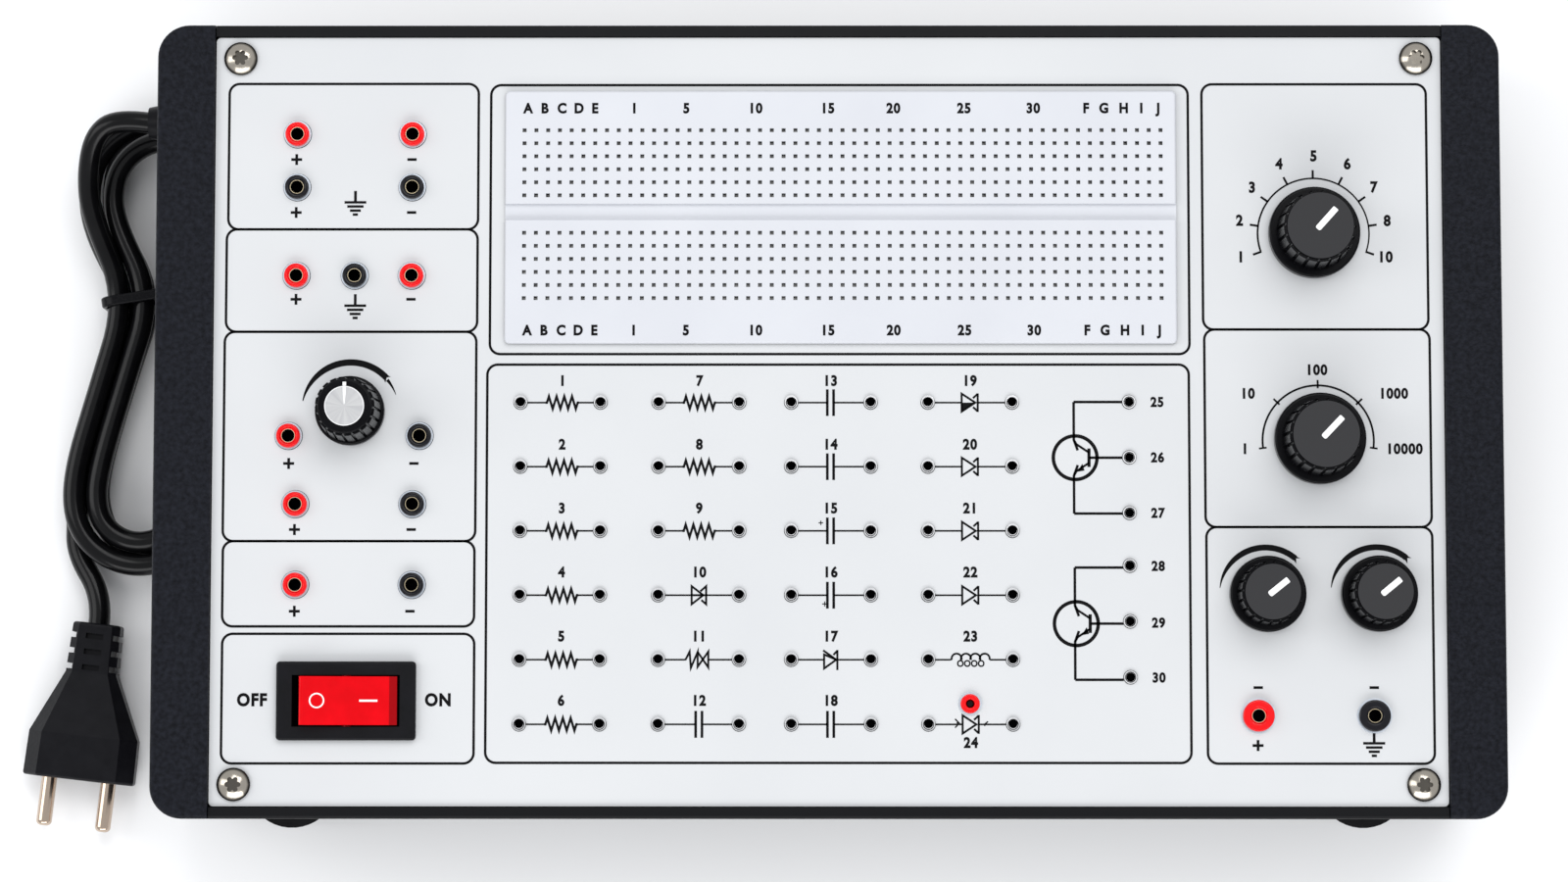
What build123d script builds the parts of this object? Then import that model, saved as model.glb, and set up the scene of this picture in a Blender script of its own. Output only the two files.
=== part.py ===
from build123d import *
import math
import os

# A bench trainer for analog electronics: a low console with a printed white panel between two
# black side cheeks. The panel carries a plug-in board, component sockets, supply sockets, five
# knobs and a rocker switch. The mains lead is tied in a hank beside the left cheek.
# Lengths are in millimetres. X runs to the right, Y to the rear, Z up.
# The origin is on the table, under the middle of the case.

os.makedirs("parts", exist_ok=True)

# Case
case_width = 420.0
case_depth = 248.0
cheek_width = 18.0
cheek_wall = 3.0
cheek_corner_radius = 10.0
cheek_edge_radius = 1.6
cheek_boss_radius = 4.5
cheek_screw_radius = 1.75
cheek_screw_length = 10.0
cheek_screw_y = 70.0
cheek_screw_z = 48.0
foot_height = 20.0
foot_top_radius = 15.0
foot_bottom_radius = 13.5
foot_inset_x = 38.0
foot_reach = 3.0
foot_screw_radius = 2.0
foot_screw_head = 2.4
foot_screw_end = 2.0
foot_well_radius = 4.6
foot_well_depth = 12.0
body_height = 56.0
sheet = 1.5
rail_thickness = 3.6
rail_rise = 1.0
rail_edge_radius = 1.2
fit = 0.1
seam = 0.3
panel_thickness = 2.0
panel_depth_below_cheeks = 2.0
panel_corner_radius = 1.4

# Panel screws and their pillars
panel_screw_radius = 2.5
screw_hole_play = 0.25
thread_play = 0.05
panel_screw_length = 14.0
panel_screw_head_radius = 5.2
panel_screw_head_height = 3.0
panel_screw_inset_x = 8.0
panel_screw_inset_y = 7.0
pillar_radius = 5.0
recess_lobe_radius = 0.75
recess_lobe_circle = 1.75
recess_depth = 1.6
screw_rim = 0.9
screw_shoulder = 0.72

# Sockets for 4 mm plugs, as X and Y from the middle of the panel
socket_bore_radius = 2.0
contact_wall = 0.4
socket_collar_radius = 3.75
output_collar_radius = 4.9
socket_collar_height = 2.2
socket_barrel_radius = 3.0
socket_ring_width = 0.5
socket_ring_height = 0.6
socket_depth = 16.0
socket_nut_height = 2.6
socket_nut_flat = 8.0
contact_step = 0.6
contact_floor = 1.0
barrel_depth = 11.0
socket_rounding = 0.55
solder_pin_radius = 0.7
solder_pin_length = 4.0
red_socket_places = [
    (-166.0, 89.5),
    (-130.0, 89.5),
    (-166.0, 45.0),
    (-130.0, 45.0),
    (-168.0, -5.2),
    (-165.7, -26.5),
    (-165.5, -51.6),
]
black_socket_places = [
    (-166.0, 72.8),
    (-130.0, 72.8),
    (-147.8, 45.0),
    (-127.2, -5.2),
    (-129.3, -26.5),
    (-129.3, -51.6),
]
red_output_place = (133.1, -92.1)
black_output_place = (169.0, -92.1)

# Small component sockets for 2.8 mm pins
tip_bore_radius = 1.4
tip_body_radius = 1.8
tip_flange_radius = 2.05
tip_flange_height = 0.6
tip_bore_depth = 9.0
tip_columns = [-95.8, -70.9, -52.8, -27.7, -11.5, 13.2, 31.0, 57.2]
tip_top_row = 5.4
tip_row_pitch = 20.0
tip_rows = 6
transistor_column = 93.6
transistor_top_row = 5.4
transistor_pitch = 17.3
transistor_pins = 3
transistor_gap = 51.0

# Light over the last diode symbol
light_place = (43.9, -88.4)
light_collar_radius = 3.0
light_ring_radius = 3.6
light_bore_radius = 1.3
light_height = 1.5
light_depth = 7.0
light_wall = 1.1
light_rounding = 0.5
light_recess = 0.4

# Plug-in board
board_width = 209.6
board_depth = 79.5
board_lip = 2.0
board_body_height = 8.5
board_lip_overlap = 2.2
board_place = (3.9, 63.3)
board_corner_radius = 1.5
field_offset_x = 0.6
hole_pitch_x = 3.68
hole_pitch_y = 4.1
hole_columns = 55
hole_rows = 6
hole_side = 1.25
hole_depth = 3.0
upper_field_y = 17.0
lower_field_y = -15.3
channel_width = 5.2
channel_depth = 1.3
channel_y = 1.5
clip_thickness = 1.6
clip_slot_play = 0.2
backing_thickness = 0.6
board_edge_radius = 0.8
hole_overlap = 0.1
clip_head_room = 0.6

# Knobs and what they turn
knob_gap = 0.8
selector_place = (151.5, 58.2)
multiplier_place = (152.7, -6.2)
amplitude_place = (136.1, -54.5)
frequency_place = (170.6, -54.4)
supply_place = (-148.8, 2.5)
large_skirt_radius = 14.2
large_grip_radius = 12.0
large_top_radius = 10.2
large_knob_height = 19.0
small_skirt_radius = 11.8
small_grip_radius = 9.9
small_top_radius = 8.5
small_knob_height = 17.0
supply_base_radius = 10.8
supply_top_radius = 9.2
supply_knob_height = 18.0
skirt_height = 4.0
grip_flutes = 20
flute_share = 0.07
cap_radius = 6.15
cap_depth = 1.0
mark_width = 2.1
mark_depth = 0.5
mark_start = -1.6
mark_share = 0.72
skirt_edge = 0.8
grip_rim = 1.0
selector_mark_angle = 42.0
multiplier_mark_angle = 43.6
amplitude_mark_angle = 51.5
frequency_mark_angle = 50.7
supply_skirt_height = 3.0
supply_rim = 1.4
supply_mark_reach = 7.5
supply_mark_width = 1.2
supply_nut_room_radius = 7.0
nut_room_radius = 8.0
cap_proud = 0.3
shaft_radius = 3.0
shaft_play = 0.06
shaft_grip = 9.0
bushing_radius = 4.5
bushing_rise = 5.0
control_nut_flat = 11.0
control_nut_height = 2.0
knob_nut_room = 1.0
rotary_switch_radius = 13.0
rotary_switch_height = 12.0
pot_radius = 8.3
pot_height = 9.0
shaft_seat = 4.0
lug_length = 5.0
lug_root = 1.0
lug_width = 2.0
lug_thickness = 0.8
switch_lugs = (0, 40, 80, 120, 160, 200, 240, 280, 320)
pot_lugs = (-36, 0, 36)

# Rocker switch
rocker_place = (-149.3, -87.6)
frame_length = 43.2
frame_width = 24.4
frame_rise = 2.6
frame_edge_radius = 0.8
housing_length = 37.0
housing_width = 20.0
housing_depth = 18.0
housing_wall = 1.8
mouth_length = 33.4
mouth_width = 16.0
rocker_length = 30.4
rocker_width = 15.0
rocker_rise = 6.6
rocker_tilt = 8.0
rocker_dip = 0.9
rocker_heel = 4.0
rocker_hub_radius = 4.0
rocker_end_slope = 1.0
rocker_edge_radius = 0.7
rocker_drop = 1.0
trunnion_radius = 1.5
trunnion_reach = 1.0
frame_corner_radius = 1.2
terminal_thickness = 0.8
terminal_width = 6.3
terminal_length = 9.0
terminal_pitch = 12.0

# Inside the case
pcb = 1.6
board_drop = 10.0
board_post_radius = 2.8
component_board_width = 218.0
component_board_depth = 120.0
component_board_place = (3.5, -44.5)
generator_board_width = 66.0
generator_board_depth = 196.0
generator_board_place = (150.0, 2.0)
generator_board_drop = 26.0
power_board_width = 110.0
power_board_depth = 84.0
power_board_place = (-40.0, 62.0)
power_board_lift = 6.0
transformer_place = (-142.0, 66.0)
core_width = 57.0
core_depth = 48.0
core_height = 19.0
core_foot = 8.0
coil_width = 36.0
coil_depth = 50.0
coil_height = 30.0
capacitor_radius = 6.5
capacitor_height = 24.0
capacitor_pitch = 17.0
heatsink_length = 60.0
heatsink_height = 28.0
heatsink_fins = 6
heatsink_offset = 22.0
fin_depth = 10.0
regulator_count = 3
regulator_width = 10.0
regulator_thickness = 4.5
regulator_height = 16.0
capacitor_offset = 18.0
capacitor_rounding = 1.0
transformer_lift = 16.0
coil_corner = 3.0
bracket_width = 20.0
bracket_ledge = 3.0
resistor_radius = 1.2
resistor_length = 6.5
diode_length = 5.2
small_capacitor_radius = 3.0
small_capacitor_length = 8.0
choke_radius = 3.0
choke_length = 9.0
transistor_radius = 2.4
transistor_length = 5.0
transistor_inset = 16.8

# Mains lead. The route's points are X, Y, Z from the origin
lead_diameter = 7.0
lead_step = 7.5
tie_thickness = 1.2
tie_width = 3.4
tie_play = 0.15
gland_y = 100.0
gland_plate_offset = 3.0
gland_z = 30.0
gland_plate_length = 24.6
gland_plate_height = 17.0
gland_plate_thickness = 4.0
gland_nose_length = 5.0
gland_nose_radius = 6.0
gland_barrel_radius = 5.5
gland_nut_flat = 15.0
gland_nut_height = 4.0
gland_plate_corner = 6.0
gland_edge_radius = 1.5
gland_nose_taper = 1.0
gland_barrel_length = 27.0
arc_share = 0.45
turn_fill = 0.98
hank_samples = 1500
hank_tail = 6.0
tie_left_room = 3.3
tie_right_room = 2.6
tie_head_room = 0.7
tie_slant = 9.0
tie_edge_radius = 0.7
top_axis_x = -217.8
low_axis_x = -222.0
left_half = 15.4
right_half = 12.9
left_waist_x = -220.5
right_waist_x = -215.6
waist_y = 46.0
top_turn_y = 79.0
low_turn_y = -20.5
shoulder_drop = 8.0
hank_start_share = 0.55
lead_start_points = [
    (-230.0, 100.0, 30.0),
    (-239.2, 94.5, 26.5),
    (-242.8, 84.0, 21.5),
    (-241.7, 71.3, 17.0),
]
lead_low_y = -38.0

# Plug
plug_entry_x = -236.8
plug_entry_y = -61.0
plug_angle = 6.6
plug_run = 9.0
sleeve_width = 15.4
sleeve_thickness = 12.0
sleeve_bevel = 2.4
sleeve_draft = 1.0
sleeve_length = 16.3
notch_count = 3
notch_pitch = 5.1
first_notch = 3.4
notch_length = 1.8
notch_depth = 2.2
slot_width = 5.6
slot_depth = 1.6
flare_length = 20.3
plug_length = 51.0
plug_width = 36.0
plug_draft = 0.6
plug_thickness = 16.0
plug_bevel_across = 5.0
plug_bevel_down = 5.5
plug_edge_radius = 1.0
pin_radius = 2.5
pin_root_radius = 2.0
pin_spacing = 19.2
pin_length = 15.8
pin_seat = 6.0
pin_rounding = 1.6

# Values that follow from the sizes above
on_base = (Align.CENTER, Align.CENTER, Align.MIN)
cheek_bottom = foot_height
cheek_screw_places = [(-cheek_screw_y, cheek_screw_z), (cheek_screw_y, cheek_screw_z)]
contact_radius = socket_bore_radius + contact_wall
contact_top = socket_collar_height - contact_step
board_body_width = board_width - 2 * board_lip_overlap
board_body_depth = board_depth - 2 * board_lip_overlap
cheek_top = foot_height + body_height
panel_top = cheek_top - panel_depth_below_cheeks
panel_under = panel_top - panel_thickness
inner_width = case_width - 2 * cheek_width
panel_width = inner_width - 2 * seam
component_board_top = panel_under - board_drop
generator_board_top = panel_under - generator_board_drop
tray_width = inner_width - 2 * seam
tray_depth = case_depth - 2 * rail_thickness
panel_depth = tray_depth - 2 * seam
tray_floor = foot_height + sheet
foot_x = case_width / 2 - foot_inset_x
foot_y = case_depth / 2 + foot_reach - foot_top_radius
screw_x = inner_width / 2 - panel_screw_inset_x
screw_y = case_depth / 2 - rail_thickness - panel_screw_inset_y
screw_places = [(-screw_x, -screw_y), (screw_x, -screw_y), (-screw_x, screw_y), (screw_x, screw_y)]
foot_places = [(-foot_x, -foot_y), (foot_x, -foot_y), (-foot_x, foot_y), (foot_x, foot_y)]
all_socket_places = red_socket_places + black_socket_places + [red_output_place, black_output_place]
tip_places = [(x, tip_top_row - row * tip_row_pitch) for x in tip_columns for row in range(tip_rows)]
for first in (transistor_top_row, transistor_top_row - transistor_gap):
    tip_places += [(transistor_column, first - pin * transistor_pitch) for pin in range(transistor_pins)]
trunnion_span = mouth_width + 2 * trunnion_reach
rocker_axis_z = panel_top - rocker_drop
nut_room_height = bushing_rise - knob_gap + knob_nut_room
control_reach = shaft_seat + seam + panel_thickness + bushing_rise
shaft_length = shaft_seat + panel_thickness + knob_gap + nut_room_height + shaft_grip - seam
power_board_top = tray_floor + power_board_lift + pcb
transformer_z = tray_floor + transformer_lift
control_places = [selector_place, multiplier_place, supply_place, amplitude_place, frequency_place]


def write(part, name):
    part.label = name
    export_step(part, f"parts/{name}.step")
    print(f"{name}: {len(part.solids())} solids, {part.volume / 1000:.2f} cm3")


# Feet
with BuildPart() as rubber_feet:
    with Locations(*foot_places):
        Cone(foot_bottom_radius, foot_top_radius, foot_height, align=(Align.CENTER, Align.CENTER, Align.MIN))
    with Locations(*foot_places):
        Cylinder(foot_screw_radius + screw_hole_play, foot_height, align=on_base, mode=Mode.SUBTRACT)
        Cylinder(foot_well_radius, foot_well_depth, align=on_base, mode=Mode.SUBTRACT)
write(rubber_feet.part, "rubber_feet")

with BuildPart() as foot_screws:
    with Locations(*[(x, y, foot_well_depth - foot_screw_head) for x, y in foot_places]):
        Cylinder(foot_well_radius - screw_hole_play, foot_screw_head, align=on_base)
    with Locations(*[(x, y, foot_well_depth) for x, y in foot_places]):
        Cylinder(foot_screw_radius, tray_floor - foot_well_depth + foot_screw_end, align=on_base)
write(foot_screws.part, "foot_screws")

# Bottom tray with its four walls
with BuildPart() as bottom_tray:
    with BuildSketch(Plane.XY.offset(foot_height)):
        Rectangle(tray_width, tray_depth)
    extrude(amount=panel_under - foot_height)
    with BuildSketch(Plane.XY.offset(tray_floor)):
        Rectangle(tray_width - 2 * sheet, tray_depth - 2 * sheet)
    extrude(amount=panel_under - tray_floor, mode=Mode.SUBTRACT)
    with Locations(*foot_places):
        Cylinder(foot_screw_radius + screw_hole_play, 3 * foot_height, mode=Mode.SUBTRACT)
    with BuildSketch(Plane.YZ):
        with Locations(*cheek_screw_places):
            Circle(cheek_screw_radius + screw_hole_play)
    extrude(amount=case_width, both=True, mode=Mode.SUBTRACT)
    with BuildSketch(Plane.YZ):
        with Locations((gland_y, gland_z)):
            Circle(gland_barrel_radius + seam)
    extrude(amount=-case_width, mode=Mode.SUBTRACT)
write(bottom_tray.part, "bottom_tray")


# Side cheeks: hollow mouldings, open towards the tray
def make_cheek(side, gland_hole):
    middle = side * (inner_width + cheek_width) / 2
    hollow = cheek_width - cheek_wall
    hollow_middle = side * (inner_width + hollow) / 2
    outer = Axis.X if side > 0 else Axis((0, 0, 0), (-1, 0, 0))
    with BuildPart() as cheek:
        with BuildSketch(Plane.XY.offset(cheek_bottom)) as plan:
            with Locations((middle, 0)):
                Rectangle(cheek_width, case_depth)
            fillet(plan.vertices().group_by(outer)[-1], cheek_corner_radius)
        extrude(amount=body_height)
        rim = cheek.faces().sort_by(Axis.Z)[-1].edges()
        fillet(rim.sort_by(outer)[1:], cheek_edge_radius)
        with BuildSketch(Plane.XY.offset(cheek_bottom + cheek_wall)) as room:
            with Locations((hollow_middle, 0)):
                Rectangle(hollow, case_depth - 2 * cheek_wall)
            fillet(room.vertices().group_by(outer)[-1], cheek_corner_radius - cheek_wall)
        extrude(amount=body_height - 2 * cheek_wall, mode=Mode.SUBTRACT)
        with BuildSketch(Plane.YZ.offset(side * inner_width / 2)):
            with Locations(*cheek_screw_places):
                Circle(cheek_boss_radius)
        extrude(amount=side * (hollow + cheek_wall / 2))
        with BuildSketch(Plane.YZ.offset(side * inner_width / 2)):
            with Locations(*cheek_screw_places):
                Circle(cheek_screw_radius + thread_play)
        extrude(amount=side * cheek_screw_length, mode=Mode.SUBTRACT)
        if gland_hole:
            with BuildSketch(Plane.YZ):
                with Locations((gland_y, gland_z)):
                    Circle(gland_barrel_radius + thread_play)
            extrude(amount=side * case_width, mode=Mode.SUBTRACT)
    return cheek.part


write(make_cheek(-1, True), "left_cheek")
write(make_cheek(1, False), "right_cheek")

with BuildPart() as cheek_screws:
    for side in (-1, 1):
        with BuildSketch(Plane.YZ.offset(side * (tray_width / 2 - sheet))):
            with Locations(*cheek_screw_places):
                Circle(cheek_screw_radius)
        extrude(amount=side * (cheek_screw_length - seam))
        with BuildSketch(Plane.YZ.offset(side * (tray_width / 2 - sheet))):
            with Locations(*cheek_screw_places):
                Circle(2 * cheek_screw_radius)
        extrude(amount=-side * cheek_screw_radius)
write(cheek_screws.part, "cheek_screws")

# Front and rear fascias between the cheeks
for name, side in (("front_fascia", -1), ("rear_fascia", 1)):
    with BuildPart() as fascia:
        with BuildSketch(Plane.XY.offset(foot_height)):
            with Locations((0, side * (case_depth - rail_thickness) / 2)):
                Rectangle(tray_width, rail_thickness)
        extrude(amount=panel_top + rail_rise - foot_height)
        top_edges = fascia.faces().sort_by(Axis.Z)[-1].edges().filter_by(Axis.X)
        fillet(top_edges.sort_by(Axis.Y)[0 if side < 0 else -1], rail_edge_radius)
    write(fascia.part, name)

# Pillars under the panel's corners, and the screws in them
with BuildPart() as panel_pillars:
    with Locations(*[(x, y, tray_floor) for x, y in screw_places]):
        Cylinder(pillar_radius, panel_under - tray_floor, align=on_base)
    with Locations(*[(x, y, panel_under) for x, y in screw_places]):
        Cylinder(
            panel_screw_radius + thread_play,
            2 * (panel_screw_length - panel_thickness + seam),
            mode=Mode.SUBTRACT,
        )
write(panel_pillars.part, "panel_pillars")

with BuildPart() as one_screw:
    with BuildSketch(Plane.XZ) as half:
        with BuildLine():
            Polyline(
                (0, 0),
                (0, -panel_screw_length),
                (panel_screw_radius, -panel_screw_length),
                (panel_screw_radius, 0),
                (panel_screw_head_radius, 0),
                (panel_screw_head_radius, screw_rim),
            )
            ThreePointArc(
                (panel_screw_head_radius, screw_rim),
                (screw_shoulder * panel_screw_head_radius, screw_shoulder * panel_screw_head_height),
                (0, panel_screw_head_height),
            )
            Line((0, panel_screw_head_height), (0, 0))
        make_face()
    revolve(axis=Axis.Z)
    with BuildSketch(Plane.XY.offset(panel_screw_head_height - recess_depth)):
        Circle(recess_lobe_circle)
        with PolarLocations(recess_lobe_circle, 6):
            Circle(recess_lobe_radius)
    extrude(amount=panel_screw_head_height, mode=Mode.SUBTRACT)
with BuildPart() as panel_screws:
    with Locations(*[(x, y, panel_top) for x, y in screw_places]):
        add(one_screw.part)
write(panel_screws.part, "panel_screws")

# Printed front panel
with BuildPart() as front_panel:
    with BuildSketch(Plane.XY.offset(panel_under)):
        RectangleRounded(panel_width, panel_depth, panel_corner_radius)
        with Locations(*screw_places):
            Circle(panel_screw_radius + screw_hole_play, mode=Mode.SUBTRACT)
        with Locations(*all_socket_places):
            Circle(socket_barrel_radius + fit, mode=Mode.SUBTRACT)
        with Locations(*tip_places):
            Circle(tip_body_radius + fit, mode=Mode.SUBTRACT)
        with Locations(*control_places):
            Circle(bushing_radius + fit, mode=Mode.SUBTRACT)
        with Locations(light_place):
            Circle(light_bore_radius + light_wall + fit, mode=Mode.SUBTRACT)
        with Locations(board_place):
            Rectangle(board_body_width + 2 * fit, board_body_depth + 2 * fit, mode=Mode.SUBTRACT)
        with Locations(rocker_place):
            Rectangle(housing_length + 2 * fit, housing_width + 2 * fit, mode=Mode.SUBTRACT)
    extrude(amount=panel_thickness)
write(front_panel.part, "front_panel")


# Sockets for 4 mm plugs: a coloured collar with a barrel through the panel
def make_socket_body(collar_radius):
    with BuildPart() as body:
        with BuildSketch(Plane.XZ) as half:
            with BuildLine():
                Polyline(
                    (contact_radius + thread_play, -barrel_depth),
                    (socket_barrel_radius, -barrel_depth),
                    (socket_barrel_radius, socket_ring_height),
                    (collar_radius, socket_ring_height),
                    (collar_radius, socket_collar_height),
                    (contact_radius + thread_play, socket_collar_height),
                    close=True,
                )
            make_face()
            fillet(half.vertices().group_by(Axis.Y)[-1], socket_rounding)
        revolve(axis=Axis.Z)
    return body.part


small_body = make_socket_body(socket_collar_radius)
large_body = make_socket_body(output_collar_radius)
socket_groups = (
    ("red_socket_bodies", red_socket_places, red_output_place),
    ("black_socket_bodies", black_socket_places, black_output_place),
)
for name, places, output_place in socket_groups:
    with BuildPart() as bodies:
        with Locations(*[(x, y, panel_top) for x, y in places]):
            add(small_body)
        with Locations((*output_place, panel_top)):
            add(large_body)
    write(bodies.part, name)

with BuildPart() as one_contact:
    with Locations((0, 0, -socket_depth)):
        Cylinder(contact_radius, contact_top + socket_depth, align=on_base)
    with Locations((0, 0, -socket_depth + contact_floor)):
        Cylinder(socket_bore_radius, contact_top + socket_depth, align=on_base, mode=Mode.SUBTRACT)
    with Locations((0, 0, -socket_depth - solder_pin_length)):
        Cylinder(solder_pin_radius, solder_pin_length, align=on_base)
with BuildPart() as socket_contacts:
    with Locations(*[(x, y, panel_top) for x, y in all_socket_places]):
        add(one_contact.part)
write(socket_contacts.part, "socket_contacts")

with BuildPart() as socket_nuts:
    with BuildSketch(Plane.XY.offset(panel_under)):
        with Locations(*all_socket_places):
            RegularPolygon(socket_nut_flat / 2, 6, major_radius=False)
            Circle(socket_barrel_radius + thread_play, mode=Mode.SUBTRACT)
    extrude(amount=-socket_nut_height)
write(socket_nuts.part, "socket_nuts")

small_ring_places = red_socket_places + black_socket_places
with BuildPart() as socket_rings:
    with BuildSketch(Plane.XY.offset(panel_top)):
        with Locations(*small_ring_places):
            Circle(socket_collar_radius + socket_ring_width)
            Circle(socket_barrel_radius + thread_play, mode=Mode.SUBTRACT)
        with Locations(red_output_place, black_output_place):
            Circle(output_collar_radius + socket_ring_width)
            Circle(socket_barrel_radius + thread_play, mode=Mode.SUBTRACT)
        with Locations(light_place):
            Circle(light_ring_radius)
            Circle(light_bore_radius + light_wall + thread_play, mode=Mode.SUBTRACT)
    extrude(amount=socket_ring_height)
write(socket_rings.part, "socket_rings")

# Component sockets: plated sleeves that stand on the component board
with BuildPart() as tip_sleeves:
    with BuildSketch(Plane.XY.offset(component_board_top)):
        with Locations(*tip_places):
            Circle(tip_body_radius)
    extrude(amount=panel_top - component_board_top)
    with BuildSketch(Plane.XY.offset(panel_top)):
        with Locations(*tip_places):
            Circle(tip_flange_radius)
    extrude(amount=tip_flange_height)
    with BuildSketch(Plane.XY.offset(panel_top + tip_flange_height)):
        with Locations(*tip_places):
            Circle(tip_bore_radius)
    extrude(amount=-tip_bore_depth, mode=Mode.SUBTRACT)
write(tip_sleeves.part, "tip_sleeves")

# Indicator light: a red collar round a dark lens
with BuildPart() as light_collar:
    with BuildSketch(Plane.XZ) as half:
        with BuildLine():
            Polyline(
                (light_bore_radius, -light_depth),
                (light_bore_radius + light_wall, -light_depth),
                (light_bore_radius + light_wall, socket_ring_height),
                (light_collar_radius, socket_ring_height),
                (light_collar_radius, light_height),
                (light_bore_radius, light_height),
                close=True,
            )
        make_face()
        fillet(half.vertices().group_by(Axis.Y)[-1], light_rounding)
    revolve(axis=Axis.Z)
light_collar.part.move(Location((*light_place, panel_top)))
write(light_collar.part, "light_collar")

with BuildPart() as light_lens:
    with Locations((*light_place, panel_top - light_depth)):
        Cylinder(light_bore_radius - thread_play, light_depth - light_recess, align=on_base)
    fillet(light_lens.edges().group_by(Axis.Z)[-1], light_rounding)
write(light_lens.part, "light_lens")

# Plug-in board with its contact clips and its backing
board_top = panel_top + board_lip
field_places = [(board_place[0] + field_offset_x, board_place[1] + y) for y in (upper_field_y, lower_field_y)]
clip_length = hole_rows * hole_pitch_y
with BuildPart() as plug_in_board:
    with BuildSketch(Plane.XY.offset(board_top)):
        with Locations(board_place):
            RectangleRounded(board_width, board_depth, board_corner_radius)
    extrude(amount=-board_lip)
    fillet(plug_in_board.faces().sort_by(Axis.Z)[-1].edges(), board_edge_radius)
    with BuildSketch(Plane.XY.offset(board_top - board_lip)):
        with Locations(board_place):
            Rectangle(board_body_width, board_body_depth)
    extrude(amount=board_lip - board_body_height)
    with BuildSketch(Plane.XY.offset(board_top)):
        with Locations((board_place[0], board_place[1] + channel_y)):
            Rectangle(board_width, channel_width)
    extrude(amount=-channel_depth, mode=Mode.SUBTRACT)
    with BuildSketch(Plane.XY.offset(board_top)):
        with Locations(*field_places):
            with GridLocations(hole_pitch_x, hole_pitch_y, hole_columns, hole_rows):
                Rectangle(hole_side, hole_side)
    extrude(amount=-hole_depth - hole_overlap, mode=Mode.SUBTRACT)
    with BuildSketch(Plane.XY.offset(board_top - board_body_height)):
        with Locations(*field_places):
            with GridLocations(hole_pitch_x, clip_length, hole_columns, 1):
                Rectangle(clip_thickness + 2 * clip_slot_play, clip_length)
    extrude(amount=board_body_height - hole_depth, mode=Mode.SUBTRACT)
write(plug_in_board.part, "plug_in_board")

with BuildPart() as board_clips:
    with BuildSketch(Plane.XY.offset(board_top - board_body_height)):
        with Locations(*field_places):
            with GridLocations(hole_pitch_x, clip_length, hole_columns, 1):
                Rectangle(clip_thickness, clip_length - 2 * clip_slot_play)
    extrude(amount=board_body_height - hole_depth - clip_head_room)
write(board_clips.part, "board_clips")

with BuildPart() as board_backing:
    with BuildSketch(Plane.XY.offset(board_top - board_body_height)):
        with Locations(board_place):
            Rectangle(board_body_width, board_body_depth)
    extrude(amount=-backing_thickness)
write(board_backing.part, "board_backing")


# Knobs: a skirt, a fluted grip and a flat top with a slot for the pointer
def fluted_face(plane, radius):
    step = 2 * math.pi / grip_flutes

    def at(distance, turn):
        return (distance * math.cos(turn * step), distance * math.sin(turn * step))

    with BuildSketch(plane) as face:
        with BuildLine():
            for flute in range(grip_flutes):
                ThreePointArc(at(radius, flute), at(radius, flute + 0.35), at(radius, flute + 0.7))
                ThreePointArc(
                    at(radius, flute + 0.7),
                    at(radius * (1 - flute_share), flute + 0.85),
                    at(radius, flute + 1),
                )
        make_face()
    return face.sketch


def make_knob(place, skirt_radius, grip_radius, top_radius, height, mark_angle):
    base = Plane((*place, panel_top + knob_gap))
    with BuildPart() as knob:
        with BuildSketch(base):
            Circle(skirt_radius)
        extrude(amount=skirt_height)
        fillet(knob.faces().sort_by(Axis.Z)[-1].edges(), skirt_edge)
        loft([
            fluted_face(base.offset(skirt_height), grip_radius).face(),
            fluted_face(base.offset(height - grip_rim), top_radius + grip_rim).face(),
        ])
        with BuildSketch(base.offset(height - grip_rim)):
            Circle(top_radius)
        extrude(amount=grip_rim)
        with BuildSketch(base):
            Circle(nut_room_radius)
        extrude(amount=nut_room_height, mode=Mode.SUBTRACT)
        with BuildSketch(base):
            Circle(shaft_radius + thread_play)
        extrude(amount=nut_room_height + shaft_grip, mode=Mode.SUBTRACT)
        mark_length = mark_share * top_radius - mark_start
        with BuildSketch(base.offset(height).rotated((0, 0, -mark_angle))):
            with Locations((0, mark_start + mark_length / 2)):
                Rectangle(mark_width, mark_length)
        extrude(amount=-mark_depth, mode=Mode.SUBTRACT)
    return knob.part


large_sizes = (large_skirt_radius, large_grip_radius, large_top_radius, large_knob_height)
small_sizes = (small_skirt_radius, small_grip_radius, small_top_radius, small_knob_height)
write(make_knob(selector_place, *large_sizes, selector_mark_angle), "selector_knob")
write(make_knob(multiplier_place, *large_sizes, multiplier_mark_angle), "multiplier_knob")
write(make_knob(amplitude_place, *small_sizes, amplitude_mark_angle), "amplitude_knob")
write(make_knob(frequency_place, *small_sizes, frequency_mark_angle), "frequency_knob")

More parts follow.
